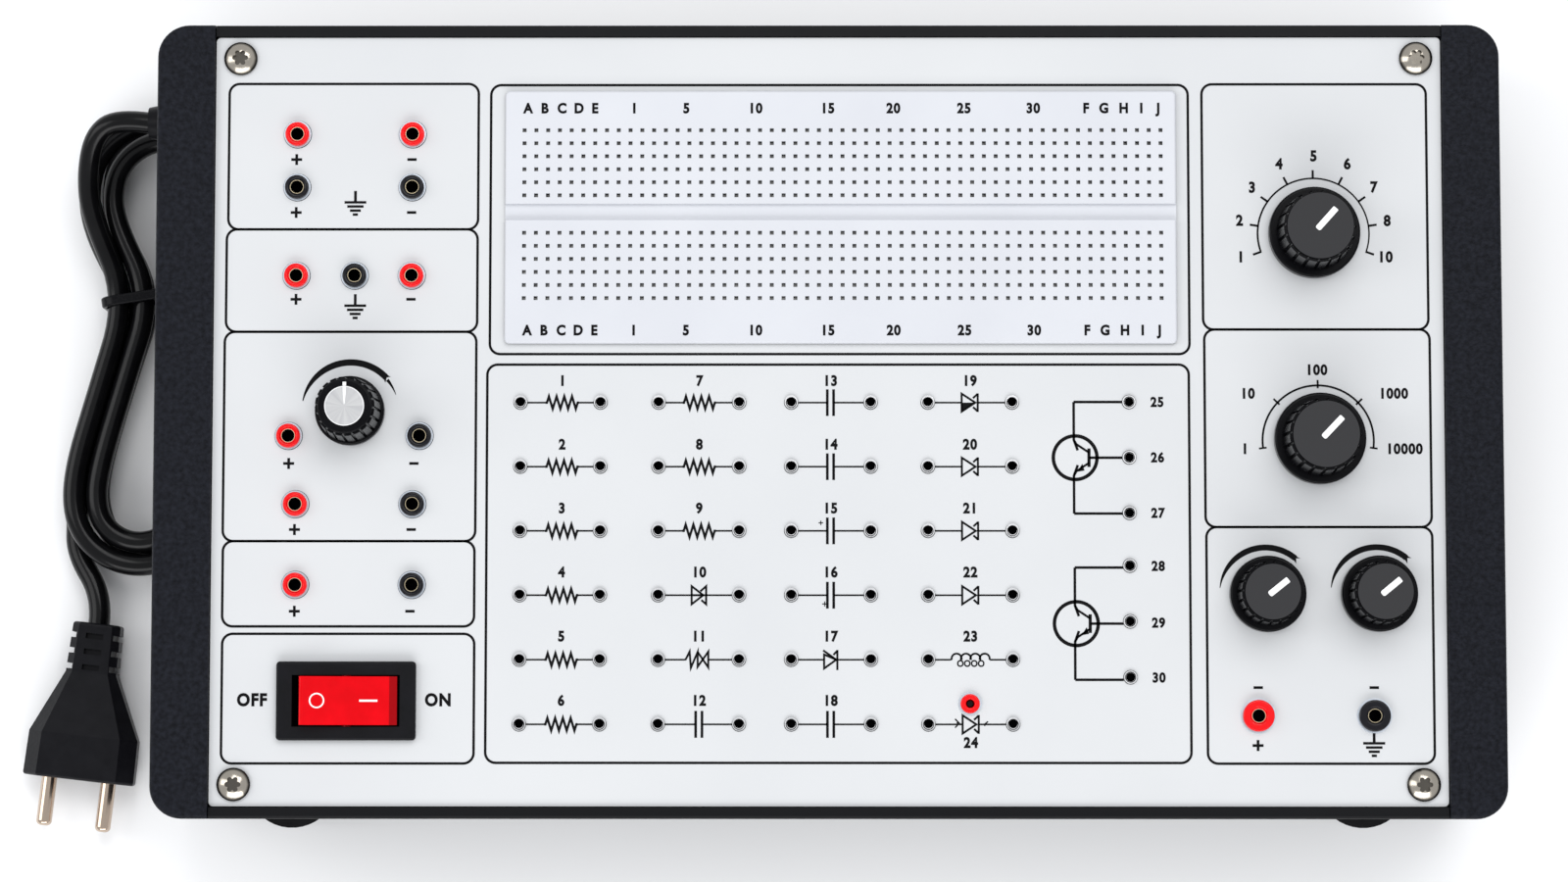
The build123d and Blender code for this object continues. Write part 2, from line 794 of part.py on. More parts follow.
# The supply knob is narrower and has a spun metal cap let into its top
supply_base = Plane((*supply_place, panel_top + knob_gap))
with BuildPart() as supply_knob:
    with BuildSketch(supply_base):
        Circle(supply_base_radius)
    extrude(amount=supply_skirt_height)
    fillet(supply_knob.faces().sort_by(Axis.Z)[-1].edges(), skirt_edge)
    loft([
        fluted_face(supply_base.offset(supply_skirt_height), supply_base_radius - skirt_edge).face(),
        fluted_face(supply_base.offset(supply_knob_height - supply_rim), supply_top_radius).face(),
    ])
    with BuildSketch(supply_base.offset(supply_knob_height - supply_rim)):
        Circle(supply_top_radius - supply_rim / 2)
    extrude(amount=supply_rim)
    fillet(supply_knob.faces().sort_by(Axis.Z)[-1].edges(), supply_rim / 2)
    with BuildSketch(supply_base.offset(supply_knob_height)):
        Circle(cap_radius + thread_play)
        with Locations((0, supply_mark_reach / 2)):
            Rectangle(supply_mark_width, supply_mark_reach)
    extrude(amount=-cap_depth, mode=Mode.SUBTRACT)
    with BuildSketch(supply_base):
        Circle(supply_nut_room_radius)
    extrude(amount=nut_room_height, mode=Mode.SUBTRACT)
    with BuildSketch(supply_base):
        Circle(shaft_radius + thread_play)
    extrude(amount=nut_room_height + shaft_grip, mode=Mode.SUBTRACT)
write(supply_knob.part, "supply_knob")

with BuildPart() as supply_cap:
    with BuildSketch(supply_base.offset(supply_knob_height - cap_depth)):
        Circle(cap_radius)
    extrude(amount=cap_depth + cap_proud)
    fillet(supply_cap.faces().sort_by(Axis.Z)[-1].edges(), cap_proud)
write(supply_cap.part, "supply_cap")

# Shafts, and the switches and potentiometers that they turn
control_names = ("selector", "multiplier", "supply", "amplitude", "frequency")
for name, place in zip(control_names, control_places):
    with BuildPart() as shaft:
        with Locations((*place, panel_under - shaft_seat)):
            Cylinder(shaft_radius, shaft_length, align=on_base)
    write(shaft.part, f"{name}_shaft")


def add_controls(places, radius, height, lugs):
    with Locations(*[(x, y, panel_under - height) for x, y in places]):
        Cylinder(radius, height, align=on_base)
    with Locations(*[(x, y, panel_under) for x, y in places]):
        Cylinder(bushing_radius, panel_thickness + bushing_rise, align=on_base)
    with Locations(*[(x, y, panel_under - shaft_seat - seam) for x, y in places]):
        Cylinder(shaft_radius + shaft_play, control_reach, align=on_base, mode=Mode.SUBTRACT)
    for x, y in places:
        for turn in lugs:
            lug = Plane((x, y, panel_under - height)).rotated((0, 0, turn))
            with BuildSketch(lug) as lug_shape:
                with Locations((0, -radius - lug_length / 2 + lug_root)):
                    Rectangle(lug_width, lug_length)
            extrude(lug_shape.sketch, amount=lug_thickness)


with BuildPart() as panel_controls:
    add_controls([selector_place, multiplier_place], rotary_switch_radius, rotary_switch_height, switch_lugs)
    add_controls([supply_place, amplitude_place, frequency_place], pot_radius, pot_height, pot_lugs)
write(panel_controls.part, "panel_controls")

with BuildPart() as control_nuts:
    with BuildSketch(Plane.XY.offset(panel_top)):
        with Locations(*control_places):
            RegularPolygon(control_nut_flat / 2, 6, major_radius=False)
            Circle(bushing_radius + thread_play, mode=Mode.SUBTRACT)
    extrude(amount=control_nut_height)
write(control_nuts.part, "control_nuts")

# Rocker switch: frame with its housing, rocker on trunnions, and three blades
with BuildPart() as switch_frame:
    with BuildSketch(Plane.XY.offset(panel_top)):
        with Locations(rocker_place):
            RectangleRounded(frame_length, frame_width, frame_corner_radius)
    extrude(amount=frame_rise)
    fillet(switch_frame.faces().sort_by(Axis.Z)[-1].edges(), frame_edge_radius)
    with BuildSketch(Plane.XY.offset(panel_top)):
        with Locations(rocker_place):
            Rectangle(housing_length, housing_width)
    extrude(amount=-housing_depth)
    with BuildSketch(Plane.XY.offset(panel_top + frame_rise)):
        with Locations(rocker_place):
            Rectangle(mouth_length, mouth_width)
    extrude(amount=housing_wall - frame_rise - housing_depth, mode=Mode.SUBTRACT)
    with Locations((*rocker_place, rocker_axis_z)):
        Cylinder(trunnion_radius + shaft_play, trunnion_span + 2 * seam, rotation=(90, 0, 0), mode=Mode.SUBTRACT)
write(switch_frame.part, "switch_frame")

rocker_plane = Plane(
    (*rocker_place, rocker_axis_z),
    x_dir=(math.cos(math.radians(rocker_tilt)), 0, -math.sin(math.radians(rocker_tilt))),
    z_dir=(0, -1, 0),
)
with BuildPart() as rocker:
    with BuildSketch(rocker_plane) as side_view:
        with BuildLine():
            ThreePointArc(
                (-rocker_length / 2, rocker_rise),
                (0, rocker_rise - rocker_dip),
                (rocker_length / 2, rocker_rise),
            )
            Polyline(
                (rocker_length / 2, rocker_rise),
                (rocker_length / 2 - rocker_end_slope, rocker_rise - rocker_heel),
                (rocker_hub_radius, -rocker_hub_radius),
                (-rocker_hub_radius, -rocker_hub_radius),
                (rocker_end_slope - rocker_length / 2, rocker_rise - rocker_heel),
                (-rocker_length / 2, rocker_rise),
            )
        make_face()
    extrude(amount=rocker_width / 2, both=True)
    fillet(rocker.edges().filter_by(Axis.Y).group_by(Axis.Z)[-1], rocker_edge_radius)
    with Locations((*rocker_place, rocker_axis_z)):
        Cylinder(trunnion_radius, trunnion_span, rotation=(90, 0, 0))
write(rocker.part, "rocker")

with BuildPart() as switch_blades:
    with Locations((*rocker_place, panel_top - housing_depth - terminal_length)):
        with GridLocations(terminal_pitch, 0, 3, 1):
            Box(terminal_thickness, terminal_width, terminal_length, align=on_base)
write(switch_blades.part, "switch_blades")

# Circuit boards under the panel and in the tray
board_sizes = (
    ("component_board", component_board_place, component_board_width, component_board_depth, component_board_top),
    ("generator_board", generator_board_place, generator_board_width, generator_board_depth, generator_board_top),
    ("power_board", power_board_place, power_board_width, power_board_depth, power_board_top),
)
for name, place, width, depth, top in board_sizes:
    with BuildPart() as circuit_board:
        with BuildSketch(Plane.XY.offset(top - pcb)):
            with Locations(place):
                RectangleRounded(width, depth, pcb)
        extrude(amount=pcb)
    write(circuit_board.part, name)


def post_grid(place, width, depth):
    inset = 2 * (board_post_radius + seam)
    with Locations(place):
        with GridLocations(width - inset, depth - inset, 2, 2):
            Circle(board_post_radius)


with BuildPart() as board_posts:
    with BuildSketch(Plane.XY.offset(component_board_top)):
        post_grid(component_board_place, component_board_width, component_board_depth)
    extrude(amount=board_drop)
    with BuildSketch(Plane.XY.offset(generator_board_top)):
        post_grid(generator_board_place, generator_board_width, generator_board_depth)
    extrude(amount=generator_board_drop)
    with BuildSketch(Plane.XY.offset(tray_floor)):
        post_grid(power_board_place, power_board_width, power_board_depth)
    extrude(amount=power_board_lift)
write(board_posts.part, "board_posts")

# Parts soldered under the component board, one below each printed symbol
component_board_under = component_board_top - pcb
pair_middles = [(tip_columns[2 * pair] + tip_columns[2 * pair + 1]) / 2 for pair in range(4)]
row_places = [tip_top_row - row * tip_row_pitch for row in range(tip_rows)]
resistor_places = [(x, y) for x in pair_middles[:2] for y in row_places]
capacitor_places = [(pair_middles[2], y) for y in row_places[:4] + row_places[5:]]
diode_places = [(pair_middles[2], row_places[4])] + [(pair_middles[3], y) for y in row_places[:4]]
choke_place = (pair_middles[3], row_places[4])
transistor_places = [
    (transistor_column - transistor_inset, transistor_top_row - transistor_pitch),
    (transistor_column - transistor_inset, transistor_top_row - transistor_pitch - transistor_gap),
]


def lying(places, radius, length):
    with Locations(*[(x, y, component_board_under - radius) for x, y in places]):
        Cylinder(radius, length, rotation=(0, 90, 0))


def hanging(places, radius, length):
    with Locations(*[(x, y, component_board_under - length) for x, y in places]):
        Cylinder(radius, length, align=on_base)


with BuildPart() as trainer_resistors:
    lying(resistor_places, resistor_radius, resistor_length)
write(trainer_resistors.part, "trainer_resistors")

with BuildPart() as trainer_capacitors:
    hanging(capacitor_places, small_capacitor_radius, small_capacitor_length)
write(trainer_capacitors.part, "trainer_capacitors")

with BuildPart() as trainer_semiconductors:
    lying(diode_places, resistor_radius, diode_length)
    hanging(transistor_places, transistor_radius, transistor_length)
write(trainer_semiconductors.part, "trainer_semiconductors")

with BuildPart() as trainer_choke:
    lying([choke_place], choke_radius, choke_length)
write(trainer_choke.part, "trainer_choke")

# Mains transformer: laminated core, coil on its middle leg, and two brackets
core_middle = Plane((*transformer_place, transformer_z))
with BuildPart() as transformer_core:
    with BuildSketch(core_middle) as lamination:
        Rectangle(core_width, core_depth)
        with GridLocations(core_width / 2, 0, 2, 1):
            Rectangle(core_width / 6, core_depth - core_width / 3, mode=Mode.SUBTRACT)
    extrude(amount=core_height / 2, both=True)
write(transformer_core.part, "transformer_core")

with BuildPart() as transformer_coil:
    with BuildSketch(Plane.XZ.offset(-transformer_place[1])):
        with Locations((transformer_place[0], transformer_z)):
            RectangleRounded(coil_width, coil_height, coil_corner)
            Rectangle(core_width / 3 + 2 * seam, core_height + 2 * seam, mode=Mode.SUBTRACT)
    extrude(amount=(core_depth - core_width / 3) / 2 - seam, both=True)
write(transformer_coil.part, "transformer_coil")

with BuildPart() as transformer_brackets:
    for side in (-1, 1):
        leg = transformer_place[0] + side * (core_width + sheet) / 2
        with Locations((leg, transformer_place[1], tray_floor)):
            Box(sheet, bracket_width, transformer_z + core_height / 2 - tray_floor, align=on_base)
        with Locations((leg + side * core_foot / 2, transformer_place[1], tray_floor)):
            Box(core_foot + sheet, bracket_width, sheet, align=on_base)
        ledge_top = transformer_z - core_height / 2
        with Locations((leg - side * bracket_ledge / 2, transformer_place[1], ledge_top - sheet)):
            Box(bracket_ledge + sheet, bracket_width, sheet, align=on_base)
write(transformer_brackets.part, "transformer_brackets")

# Power board: smoothing capacitors, and regulators on a finned heatsink
with BuildPart() as smoothing_capacitors:
    with Locations((power_board_place[0], power_board_place[1] - capacitor_offset, power_board_top)):
        with GridLocations(capacitor_pitch, 0, 4, 1):
            Cylinder(capacitor_radius, capacitor_height, align=on_base)
    fillet(smoothing_capacitors.edges().group_by(Axis.Z)[-1], capacitor_rounding)
write(smoothing_capacitors.part, "smoothing_capacitors")

heatsink_y = power_board_place[1] + heatsink_offset
with BuildPart() as heatsink:
    with Locations((power_board_place[0], heatsink_y, power_board_top)):
        Box(heatsink_length, sheet, heatsink_height, align=on_base)
        with Locations((0, (fin_depth + sheet) / 2, 0)):
            with GridLocations((heatsink_length - sheet) / (heatsink_fins - 1), 0, heatsink_fins, 1):
                Box(sheet, fin_depth, heatsink_height, align=on_base)
write(heatsink.part, "heatsink")

with BuildPart() as regulators:
    with Locations((power_board_place[0], heatsink_y - (sheet + regulator_thickness) / 2, power_board_top)):
        with GridLocations(heatsink_length / regulator_count, 0, regulator_count, 1):
            Box(regulator_width, regulator_thickness, regulator_height, align=on_base)
write(regulators.part, "regulators")


# Mains lead. Every arc is as large as its two runs allow
def corner_radii(route):
    points = [Vector(*point) for point in route]
    radii = []
    for before, here, after in zip(points, points[1:], points[2:]):
        turn = (here - before).get_angle(after - here)
        shorter = min((here - before).length, (after - here).length)
        radii.append(arc_share * shorter / math.tan(math.radians(turn) / 2))
    return radii


def sweep_lead(route, radii):
    with BuildPart() as tube:
        with BuildLine() as path:
            FilletPolyline(*route, radius=radii)
        line = path.wire()
        with BuildSketch(Plane(line @ 0, z_dir=line % 0)):
            Circle(lead_diameter / 2)
        sweep()
    share = tube.part.volume / (math.pi * lead_diameter**2 / 4 * line.length)
    print(f"  length {line.length:.0f}, volume over section and length {share:.4f}")
    return tube.part, line


# The hank's runs: each side has an inner line with a bend at the waist, and an outer line beside it.
# An outer line stands one step from the inner line, along the bisector at each of its points.
def beside(line, step):
    moved = []
    for index, (x, y) in enumerate(line):
        before = line[max(index - 1, 0)]
        after = line[min(index + 1, len(line) - 1)]
        first = unit_normal(before, (x, y)) if index > 0 else unit_normal((x, y), after)
        second = unit_normal((x, y), after) if index < len(line) - 1 else first
        scale = step / (1 + first[0] * second[0] + first[1] * second[1])
        moved.append((x + (first[0] + second[0]) * scale, y + (first[1] + second[1]) * scale))
    return moved


def unit_normal(start, end):
    run_x, run_y = end[0] - start[0], end[1] - start[1]
    size = math.hypot(run_x, run_y)
    return (-run_y / size, run_x / size)


left_inner = [
    (top_axis_x - left_half, top_turn_y),
    (top_axis_x - left_half, top_turn_y - shoulder_drop),
    (left_waist_x, waist_y),
    (low_axis_x - left_half, low_turn_y + shoulder_drop),
    (low_axis_x - left_half, low_turn_y),
]
right_inner = [
    (top_axis_x + right_half, top_turn_y),
    (top_axis_x + right_half, top_turn_y - shoulder_drop),
    (right_waist_x, waist_y),
    (low_axis_x + right_half, low_turn_y + shoulder_drop),
    (low_axis_x + right_half, low_turn_y),
]
left_outer = beside(left_inner, -lead_step)
right_outer = beside(right_inner, lead_step)
low_layer = tie_thickness + tie_play + lead_diameter / 2
high_layer = low_layer + lead_step
inner_bends = {"top": 28.0, "waist": 43.0, "low": 50.0}


# A run goes down or up its line. Its bends are wider on the outside of a bend, as its line is
def add_run(route, radii, line, upwards, start_z, end_z, outer):
    points = line[1:-1]
    grow = lead_step if outer else 0
    bends = [inner_bends["top"] + grow, inner_bends["waist"] - grow, inner_bends["low"] + grow]
    if upwards:
        points = points[::-1]
        bends = bends[::-1]
    total = abs(points[-1][1] - points[0][1])
    for (x, y), bend in zip(points, bends):
        share = abs(y - points[0][1]) / total
        route.append((x, y, start_z + share * (end_z - start_z)))
        radii.append(bend)


# A turn joins two lines at their ends with two quarter arcs
def add_turn(route, radii, from_x, to_x, turn_y, outwards, z):
    radius = turn_fill * abs(to_x - from_x) / 2
    for x in (from_x, to_x):
        route.append((x, turn_y + outwards * abs(to_x - from_x) / 2, z))
        radii.append(radius)


hank_route = []
hank_radii = []
hank_start_x = left_outer[2][0] + hank_start_share * (left_outer[3][0] - left_outer[2][0])
hank_start_y = left_outer[2][1] + hank_start_share * (left_outer[3][1] - left_outer[2][1])
hank_start = (hank_start_x, hank_start_y, high_layer)
hank_route.append(hank_start)
hank_route.append((*left_outer[3], high_layer))
hank_radii.append(inner_bends["low"] + lead_step)
hank_runs = [
    (left_outer, right_outer, "low", high_layer, high_layer),
    (right_outer, left_inner, "top", high_layer, high_layer),
    (left_inner, right_inner, "low", high_layer, high_layer),
    (right_inner, left_inner, "top", low_layer, low_layer),
    (left_inner, right_outer, "low", low_layer, low_layer),
    (right_outer, left_outer, "top", low_layer, low_layer),
]
for index, (line, following, end, turn_z, next_z) in enumerate(hank_runs):
    corner = 0 if end == "top" else -1
    outwards = 1 if end == "top" else -1
    add_turn(hank_route, hank_radii, line[corner][0], following[corner][0], line[corner][1], outwards, turn_z)
    upwards = end == "low"
    end_z = hank_runs[index + 1][3] if index + 1 < len(hank_runs) else low_layer
    add_run(hank_route, hank_radii, following, upwards, turn_z, end_z, following in (left_outer, right_outer))
hank_end = (left_outer[4][0], low_turn_y - hank_tail, low_layer)
hank_route.append(hank_end)

gland_end = (-case_width / 2 - gland_plate_thickness - gland_nose_length, gland_y, gland_z)
lead_start_route = [gland_end, *lead_start_points, (*left_outer[2], high_layer), hank_start]
plug_turn = math.radians(plug_angle)
plug_entry = (plug_entry_x, plug_entry_y, plug_thickness / 2)
before_plug = (
    plug_entry_x + plug_run * math.sin(plug_turn),
    plug_entry_y + plug_run * math.cos(plug_turn),
    plug_thickness / 2,
)
lead_end_route = [hank_end, (hank_end[0], lead_low_y, low_layer), before_plug, plug_entry]

for name, route in (("mains_lead_start", lead_start_route), ("mains_lead_end", lead_end_route)):
    radii = corner_radii(route)
    print(name, "arc radii", [round(radius, 1) for radius in radii])
    tube, _ = sweep_lead(route, radii)
    write(tube, name)

print("mains_lead_hank arc radii", [round(radius, 1) for radius in hank_radii])
hank, hank_path = sweep_lead(hank_route, hank_radii)
write(hank, "mains_lead_hank")

# The least gap between the hank's turns, measured on points along its line
samples = [hank_path.position_at(index / hank_samples) for index in range(hank_samples + 1)]
apart = int(2.5 * lead_diameter * hank_samples / hank_path.length)
least = min(
    (samples[one] - samples[other]).length
    for one in range(len(samples))
    for other in range(one + apart, len(samples))
)
print(f"least gap between the hank's turns {least - lead_diameter:.2f}")

# The tie round the hank's waist, which lies a little aslant
tie_left = left_outer[2][0] - lead_diameter / 2 - tie_play - tie_left_room
tie_right = right_outer[2][0] + lead_diameter / 2 + tie_play + tie_right_room
tie_top = high_layer + lead_diameter / 2 + tie_play + tie_head_room
tie_plane = Plane(
    ((tie_left + tie_right) / 2, waist_y, 0),
    x_dir=(math.cos(math.radians(tie_slant)), math.sin(math.radians(tie_slant)), 0),
    z_dir=(math.sin(math.radians(tie_slant)), -math.cos(math.radians(tie_slant)), 0),
)
with BuildPart() as hank_tie:
    with BuildSketch(tie_plane):
        with Locations((0, (tie_top + tie_thickness) / 2)):
            RectangleRounded(
                tie_right - tie_left + 2 * tie_thickness,
                tie_top + tie_thickness,
                lead_diameter / 2 + tie_thickness,
            )
    extrude(amount=tie_width / 2, both=True)
    fillet(hank_tie.faces().sort_by(Axis(tie_plane.origin, tie_plane.z_dir))[-1].edges(), tie_edge_radius)
    fillet(hank_tie.faces().sort_by(Axis(tie_plane.origin, tie_plane.z_dir))[0].edges(), tie_edge_radius)
    with BuildSketch(tie_plane):
        with Locations((0, (tie_top + tie_thickness) / 2)):
            RectangleRounded(
                tie_right - tie_left,
                tie_top - tie_thickness,
                lead_diameter / 2,
            )
    extrude(amount=tie_width, both=True, mode=Mode.SUBTRACT)
write(hank_tie.part, "hank_tie")

# Cord gland in the left cheek, with its nut inside the tray
gland_face = Plane((-case_width / 2, gland_y, gland_z), x_dir=(0, -1, 0), z_dir=(-1, 0, 0))
with BuildPart() as cord_gland:
    with BuildSketch(gland_face):
        with Locations((gland_plate_offset, 0)):
            RectangleRounded(gland_plate_length, gland_plate_height, gland_plate_corner)
    extrude(amount=gland_plate_thickness)
    fillet(cord_gland.faces().sort_by(Axis.X)[0].edges(), gland_edge_radius)
    with BuildSketch(gland_face.offset(gland_plate_thickness)):
        Circle(gland_nose_radius)
    with BuildSketch(gland_face.offset(gland_plate_thickness + gland_nose_length)):
        Circle(gland_nose_radius - gland_nose_taper)
    loft()
    with BuildSketch(gland_face):
        Circle(gland_barrel_radius)
    extrude(amount=-gland_barrel_length)
write(cord_gland.part, "cord_gland")

with BuildPart() as gland_nut:
    with BuildSketch(Plane((sheet - tray_width / 2, gland_y, gland_z), x_dir=(0, 1, 0), z_dir=(1, 0, 0))):
        RegularPolygon(gland_nut_flat / 2, 6, major_radius=False)
        Circle(gland_barrel_radius + thread_play, mode=Mode.SUBTRACT)
    extrude(amount=gland_nut_height)
write(gland_nut.part, "gland_nut")

# Mains plug on the table, turned a little: notched sleeve, flaring body and two round pins
plug_face = Plane(
    plug_entry,
    x_dir=(math.cos(plug_turn), -math.sin(plug_turn), 0),
    z_dir=(-math.sin(plug_turn), -math.cos(plug_turn), 0),
)


# An outline as wide and thick as given, with its four corners bevelled
def bevelled_face(distance, width, thickness, across, down):
    corners = [
        (width / 2, thickness / 2 - down),
        (width / 2 - across, thickness / 2),
        (across - width / 2, thickness / 2),
        (-width / 2, thickness / 2 - down),
    ]
    corners += [(-x, -y) for x, y in corners]
    with BuildSketch(plug_face.offset(distance)) as face:
        with BuildLine():
            Polyline(*corners, close=True)
        make_face()
    return face.sketch.face()


sleeve_sizes = (sleeve_thickness, sleeve_bevel, sleeve_bevel)
block_sizes = (plug_thickness, plug_bevel_across, plug_bevel_down)
notch_places = [first_notch + notch * notch_pitch for notch in range(notch_count)]
with BuildPart() as plug_body:
    loft([
        bevelled_face(0, sleeve_width, *sleeve_sizes),
        bevelled_face(sleeve_length, sleeve_width + sleeve_draft, *sleeve_sizes),
    ])
    loft([
        bevelled_face(sleeve_length, sleeve_width + sleeve_draft, *sleeve_sizes),
        bevelled_face(sleeve_length + flare_length, plug_width - plug_draft, *block_sizes),
    ])
    loft([
        bevelled_face(sleeve_length + flare_length, plug_width - plug_draft, *block_sizes),
        bevelled_face(plug_length, plug_width, *block_sizes),
    ])
    fillet(plug_body.faces().sort_by(Axis(plug_face.origin, plug_face.z_dir))[-1].edges(), plug_edge_radius)
    fillet(plug_body.faces().sort_by(Axis(plug_face.origin, plug_face.z_dir))[0].edges(), plug_edge_radius)
    for place in notch_places:
        with BuildSketch(plug_face.offset(place)):
            with GridLocations(sleeve_width + sleeve_draft, 0, 2, 1):
                Rectangle(2 * notch_depth, sleeve_thickness)
            with GridLocations(0, sleeve_thickness, 1, 2):
                Rectangle(slot_width, 2 * slot_depth)
        extrude(amount=notch_length, mode=Mode.SUBTRACT)
    with BuildSketch(plug_face.offset(plug_length)):
        with GridLocations(pin_spacing, 0, 2, 1):
            Circle(pin_root_radius + thread_play)
    extrude(amount=-pin_seat, mode=Mode.SUBTRACT)
write(plug_body.part, "plug_body")

with BuildPart() as plug_pins:
    with BuildSketch(plug_face.offset(plug_length - pin_seat)):
        with GridLocations(pin_spacing, 0, 2, 1):
            Circle(pin_root_radius)
    extrude(amount=pin_seat)
    with BuildSketch(plug_face.offset(plug_length)):
        with GridLocations(pin_spacing, 0, 2, 1):
            Circle(pin_radius)
    extrude(amount=pin_length)
    fillet(plug_pins.edges().filter_by(GeomType.CIRCLE).group_by(Axis(plug_face.origin, plug_face.z_dir))[-1], pin_rounding)
write(plug_pins.part, "plug_pins")
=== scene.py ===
# %% [markdown]
# A bench trainer for analog electronics, seen from almost straight above.
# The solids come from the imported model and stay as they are. This lesson gives them finishes,
# and adds what a solid model leaves out: the printing on the panel, the pointers on the knobs,
# the marks on the rocker and the smooth line of the mains lead.
# The imports come first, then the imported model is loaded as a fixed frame.

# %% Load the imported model
import bpy
import math
import numpy as np
from mathutils import Matrix, Vector


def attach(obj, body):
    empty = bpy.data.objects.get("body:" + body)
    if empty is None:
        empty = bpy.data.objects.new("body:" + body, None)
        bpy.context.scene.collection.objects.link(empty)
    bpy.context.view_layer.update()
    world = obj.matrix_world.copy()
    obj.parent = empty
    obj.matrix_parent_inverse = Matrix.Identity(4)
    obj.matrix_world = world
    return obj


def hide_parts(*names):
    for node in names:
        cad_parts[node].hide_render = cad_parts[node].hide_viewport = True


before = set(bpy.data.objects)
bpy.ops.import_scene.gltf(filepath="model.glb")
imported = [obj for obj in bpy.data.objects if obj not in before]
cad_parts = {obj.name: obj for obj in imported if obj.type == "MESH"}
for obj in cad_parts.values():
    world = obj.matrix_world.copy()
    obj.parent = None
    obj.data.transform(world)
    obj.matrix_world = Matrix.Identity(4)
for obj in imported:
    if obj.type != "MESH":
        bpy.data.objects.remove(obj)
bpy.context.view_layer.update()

# %% [markdown]
# The camera is placed first. The photograph was taken from well above with a long lens, a little
# in front of the middle of the case, so the front feet show and the rear ones do not.
# The tilt is a turn about the X axis, and the small yaw is a turn about the camera's own Y axis.

# %% Camera
SENSOR, FRAME_PIXELS, FOCAL_PIXELS = 36.0, 1600.0, 4487.4
CAMERA_PLACE = (-0.0085, -0.1201, 1.4378)
TILT, YAW = math.radians(4.75), math.radians(0.22)
camera_data = bpy.data.cameras.new("overhead_camera")
camera_data.sensor_width = SENSOR
camera_data.lens = FOCAL_PIXELS * SENSOR / FRAME_PIXELS
camera_data.clip_start = 0.05
camera_data.clip_end = 20.0
camera = bpy.data.objects.new("overhead_camera", camera_data)
bpy.context.scene.collection.objects.link(camera)
turn = Matrix.Rotation(TILT, 4, "X") @ Matrix.Rotation(YAW, 4, "Y")
camera.matrix_world = Matrix.Translation(CAMERA_PLACE) @ turn
bpy.context.scene.camera = camera
print("lens", round(camera_data.lens, 2), "mm at", [round(v, 3) for v in camera.location])

# %% [markdown]
# The mains lead is one smooth curve from the gland to the plug. It leaves the gland, drops to the
# waist that the tie holds, makes three and a half rounds in two layers and runs on to the plug.
# The points are where a hand would bend it. A curve of order three passes inside its points, so
# at the half turns they stand on a circle a little outside the lead's own. The camera sees the
# upper layer a little further out than it is, so the lower layer's turns at the top reach a
# little further too, and lie hidden under it. Lengths are in millimetres up to the last step.

# %% Route of the mains lead
LEAD_DIAMETER = 7.0
LOW, HIGH = 4.85, 12.35  # the heights of the two layers
TOP_Y, BOTTOM_Y = 79.0, -20.5


def half_turn(start_x, end_x, y, outwards, z, points=6):
    """Points at even angles round a half circle, at the radius over the cosine of half a step."""
    steps = (np.arange(points) + 0.5) * math.pi / points
    half = (end_x - start_x) / 2
    reach = half / math.cos(math.pi / 2 / points)
    x = start_x + half - reach * np.cos(steps)
    return np.column_stack([x, y + outwards * abs(reach) * np.sin(steps), np.full(points, z)])


out_and_down = [
    (-219.0, 100.0, 30.0), (-229.5, 101.5, 30.0), (-237.4, 96.5, 27.0), (-240.4, 84.5, 21.5),
    (-239.6, 71.3, 17.0), (-228.5, 45.2, HIGH), (-237.5, 14.1, HIGH), (-244.9, -11.4, HIGH),
]
outer_up = [(-201.6, -12.1), (-205.0, 18.4), (-207.9, 44.9), (-197.4, 69.5)]
inner_down = [(-233.2, 71.0), (-220.5, 46.0), (-228.3, 19.1), (-237.4, -12.5)]
under_inner = [(-234.4, 71.0), (-220.5, 46.0), (-229.2, 19.1), (-238.2, -12.5)]
outer_down = [(-241.9, 69.6), (-228.5, 45.2), (-236.0, 19.3), (-244.9, -11.4)]
inner_up = [(-209.1, -12.5, HIGH), (-212.6, 19.0, 9.6), (-215.6, 46.0, 7.1), (-204.9, 71.0, LOW)]
to_the_plug = [
    (-244.9, -26.5, LOW), (-244.9, -38.0, LOW), (-235.8, -52.1, 8.0), (-236.8, -61.0, 8.0),
]


def level(points, z):
    """Points of a run that stays at one height."""
    return np.array([(x, y, z) for x, y in points])


route = np.vstack([
    out_and_down,
    half_turn(-244.9, -201.6, BOTTOM_Y, -1, HIGH), level(outer_up, HIGH),
    half_turn(-197.4, -233.2, TOP_Y, 1, HIGH), level(inner_down, HIGH),
    half_turn(-237.4, -209.1, BOTTOM_Y, -1, HIGH), inner_up,
    half_turn(-204.9, -234.4, TOP_Y + 4.0, 1, LOW), level(under_inner, LOW),
    half_turn(-237.4, -201.6, BOTTOM_Y, -1, LOW), level(outer_up, LOW),
    half_turn(-197.4, -242.3, TOP_Y + 2.0, 1, LOW), level(outer_down, LOW),
    to_the_plug,
]) / 1000.0
print("route of", len(route), "points")

# %% [markdown]
# The curve is swept by a round section of radius one, and each of its points scales that to the
# lead's own radius. It stands for all three solids of the lead, from the gland to the plug. A
# swept mesh could look the same, but a curve stays one unbroken line that can be measured.

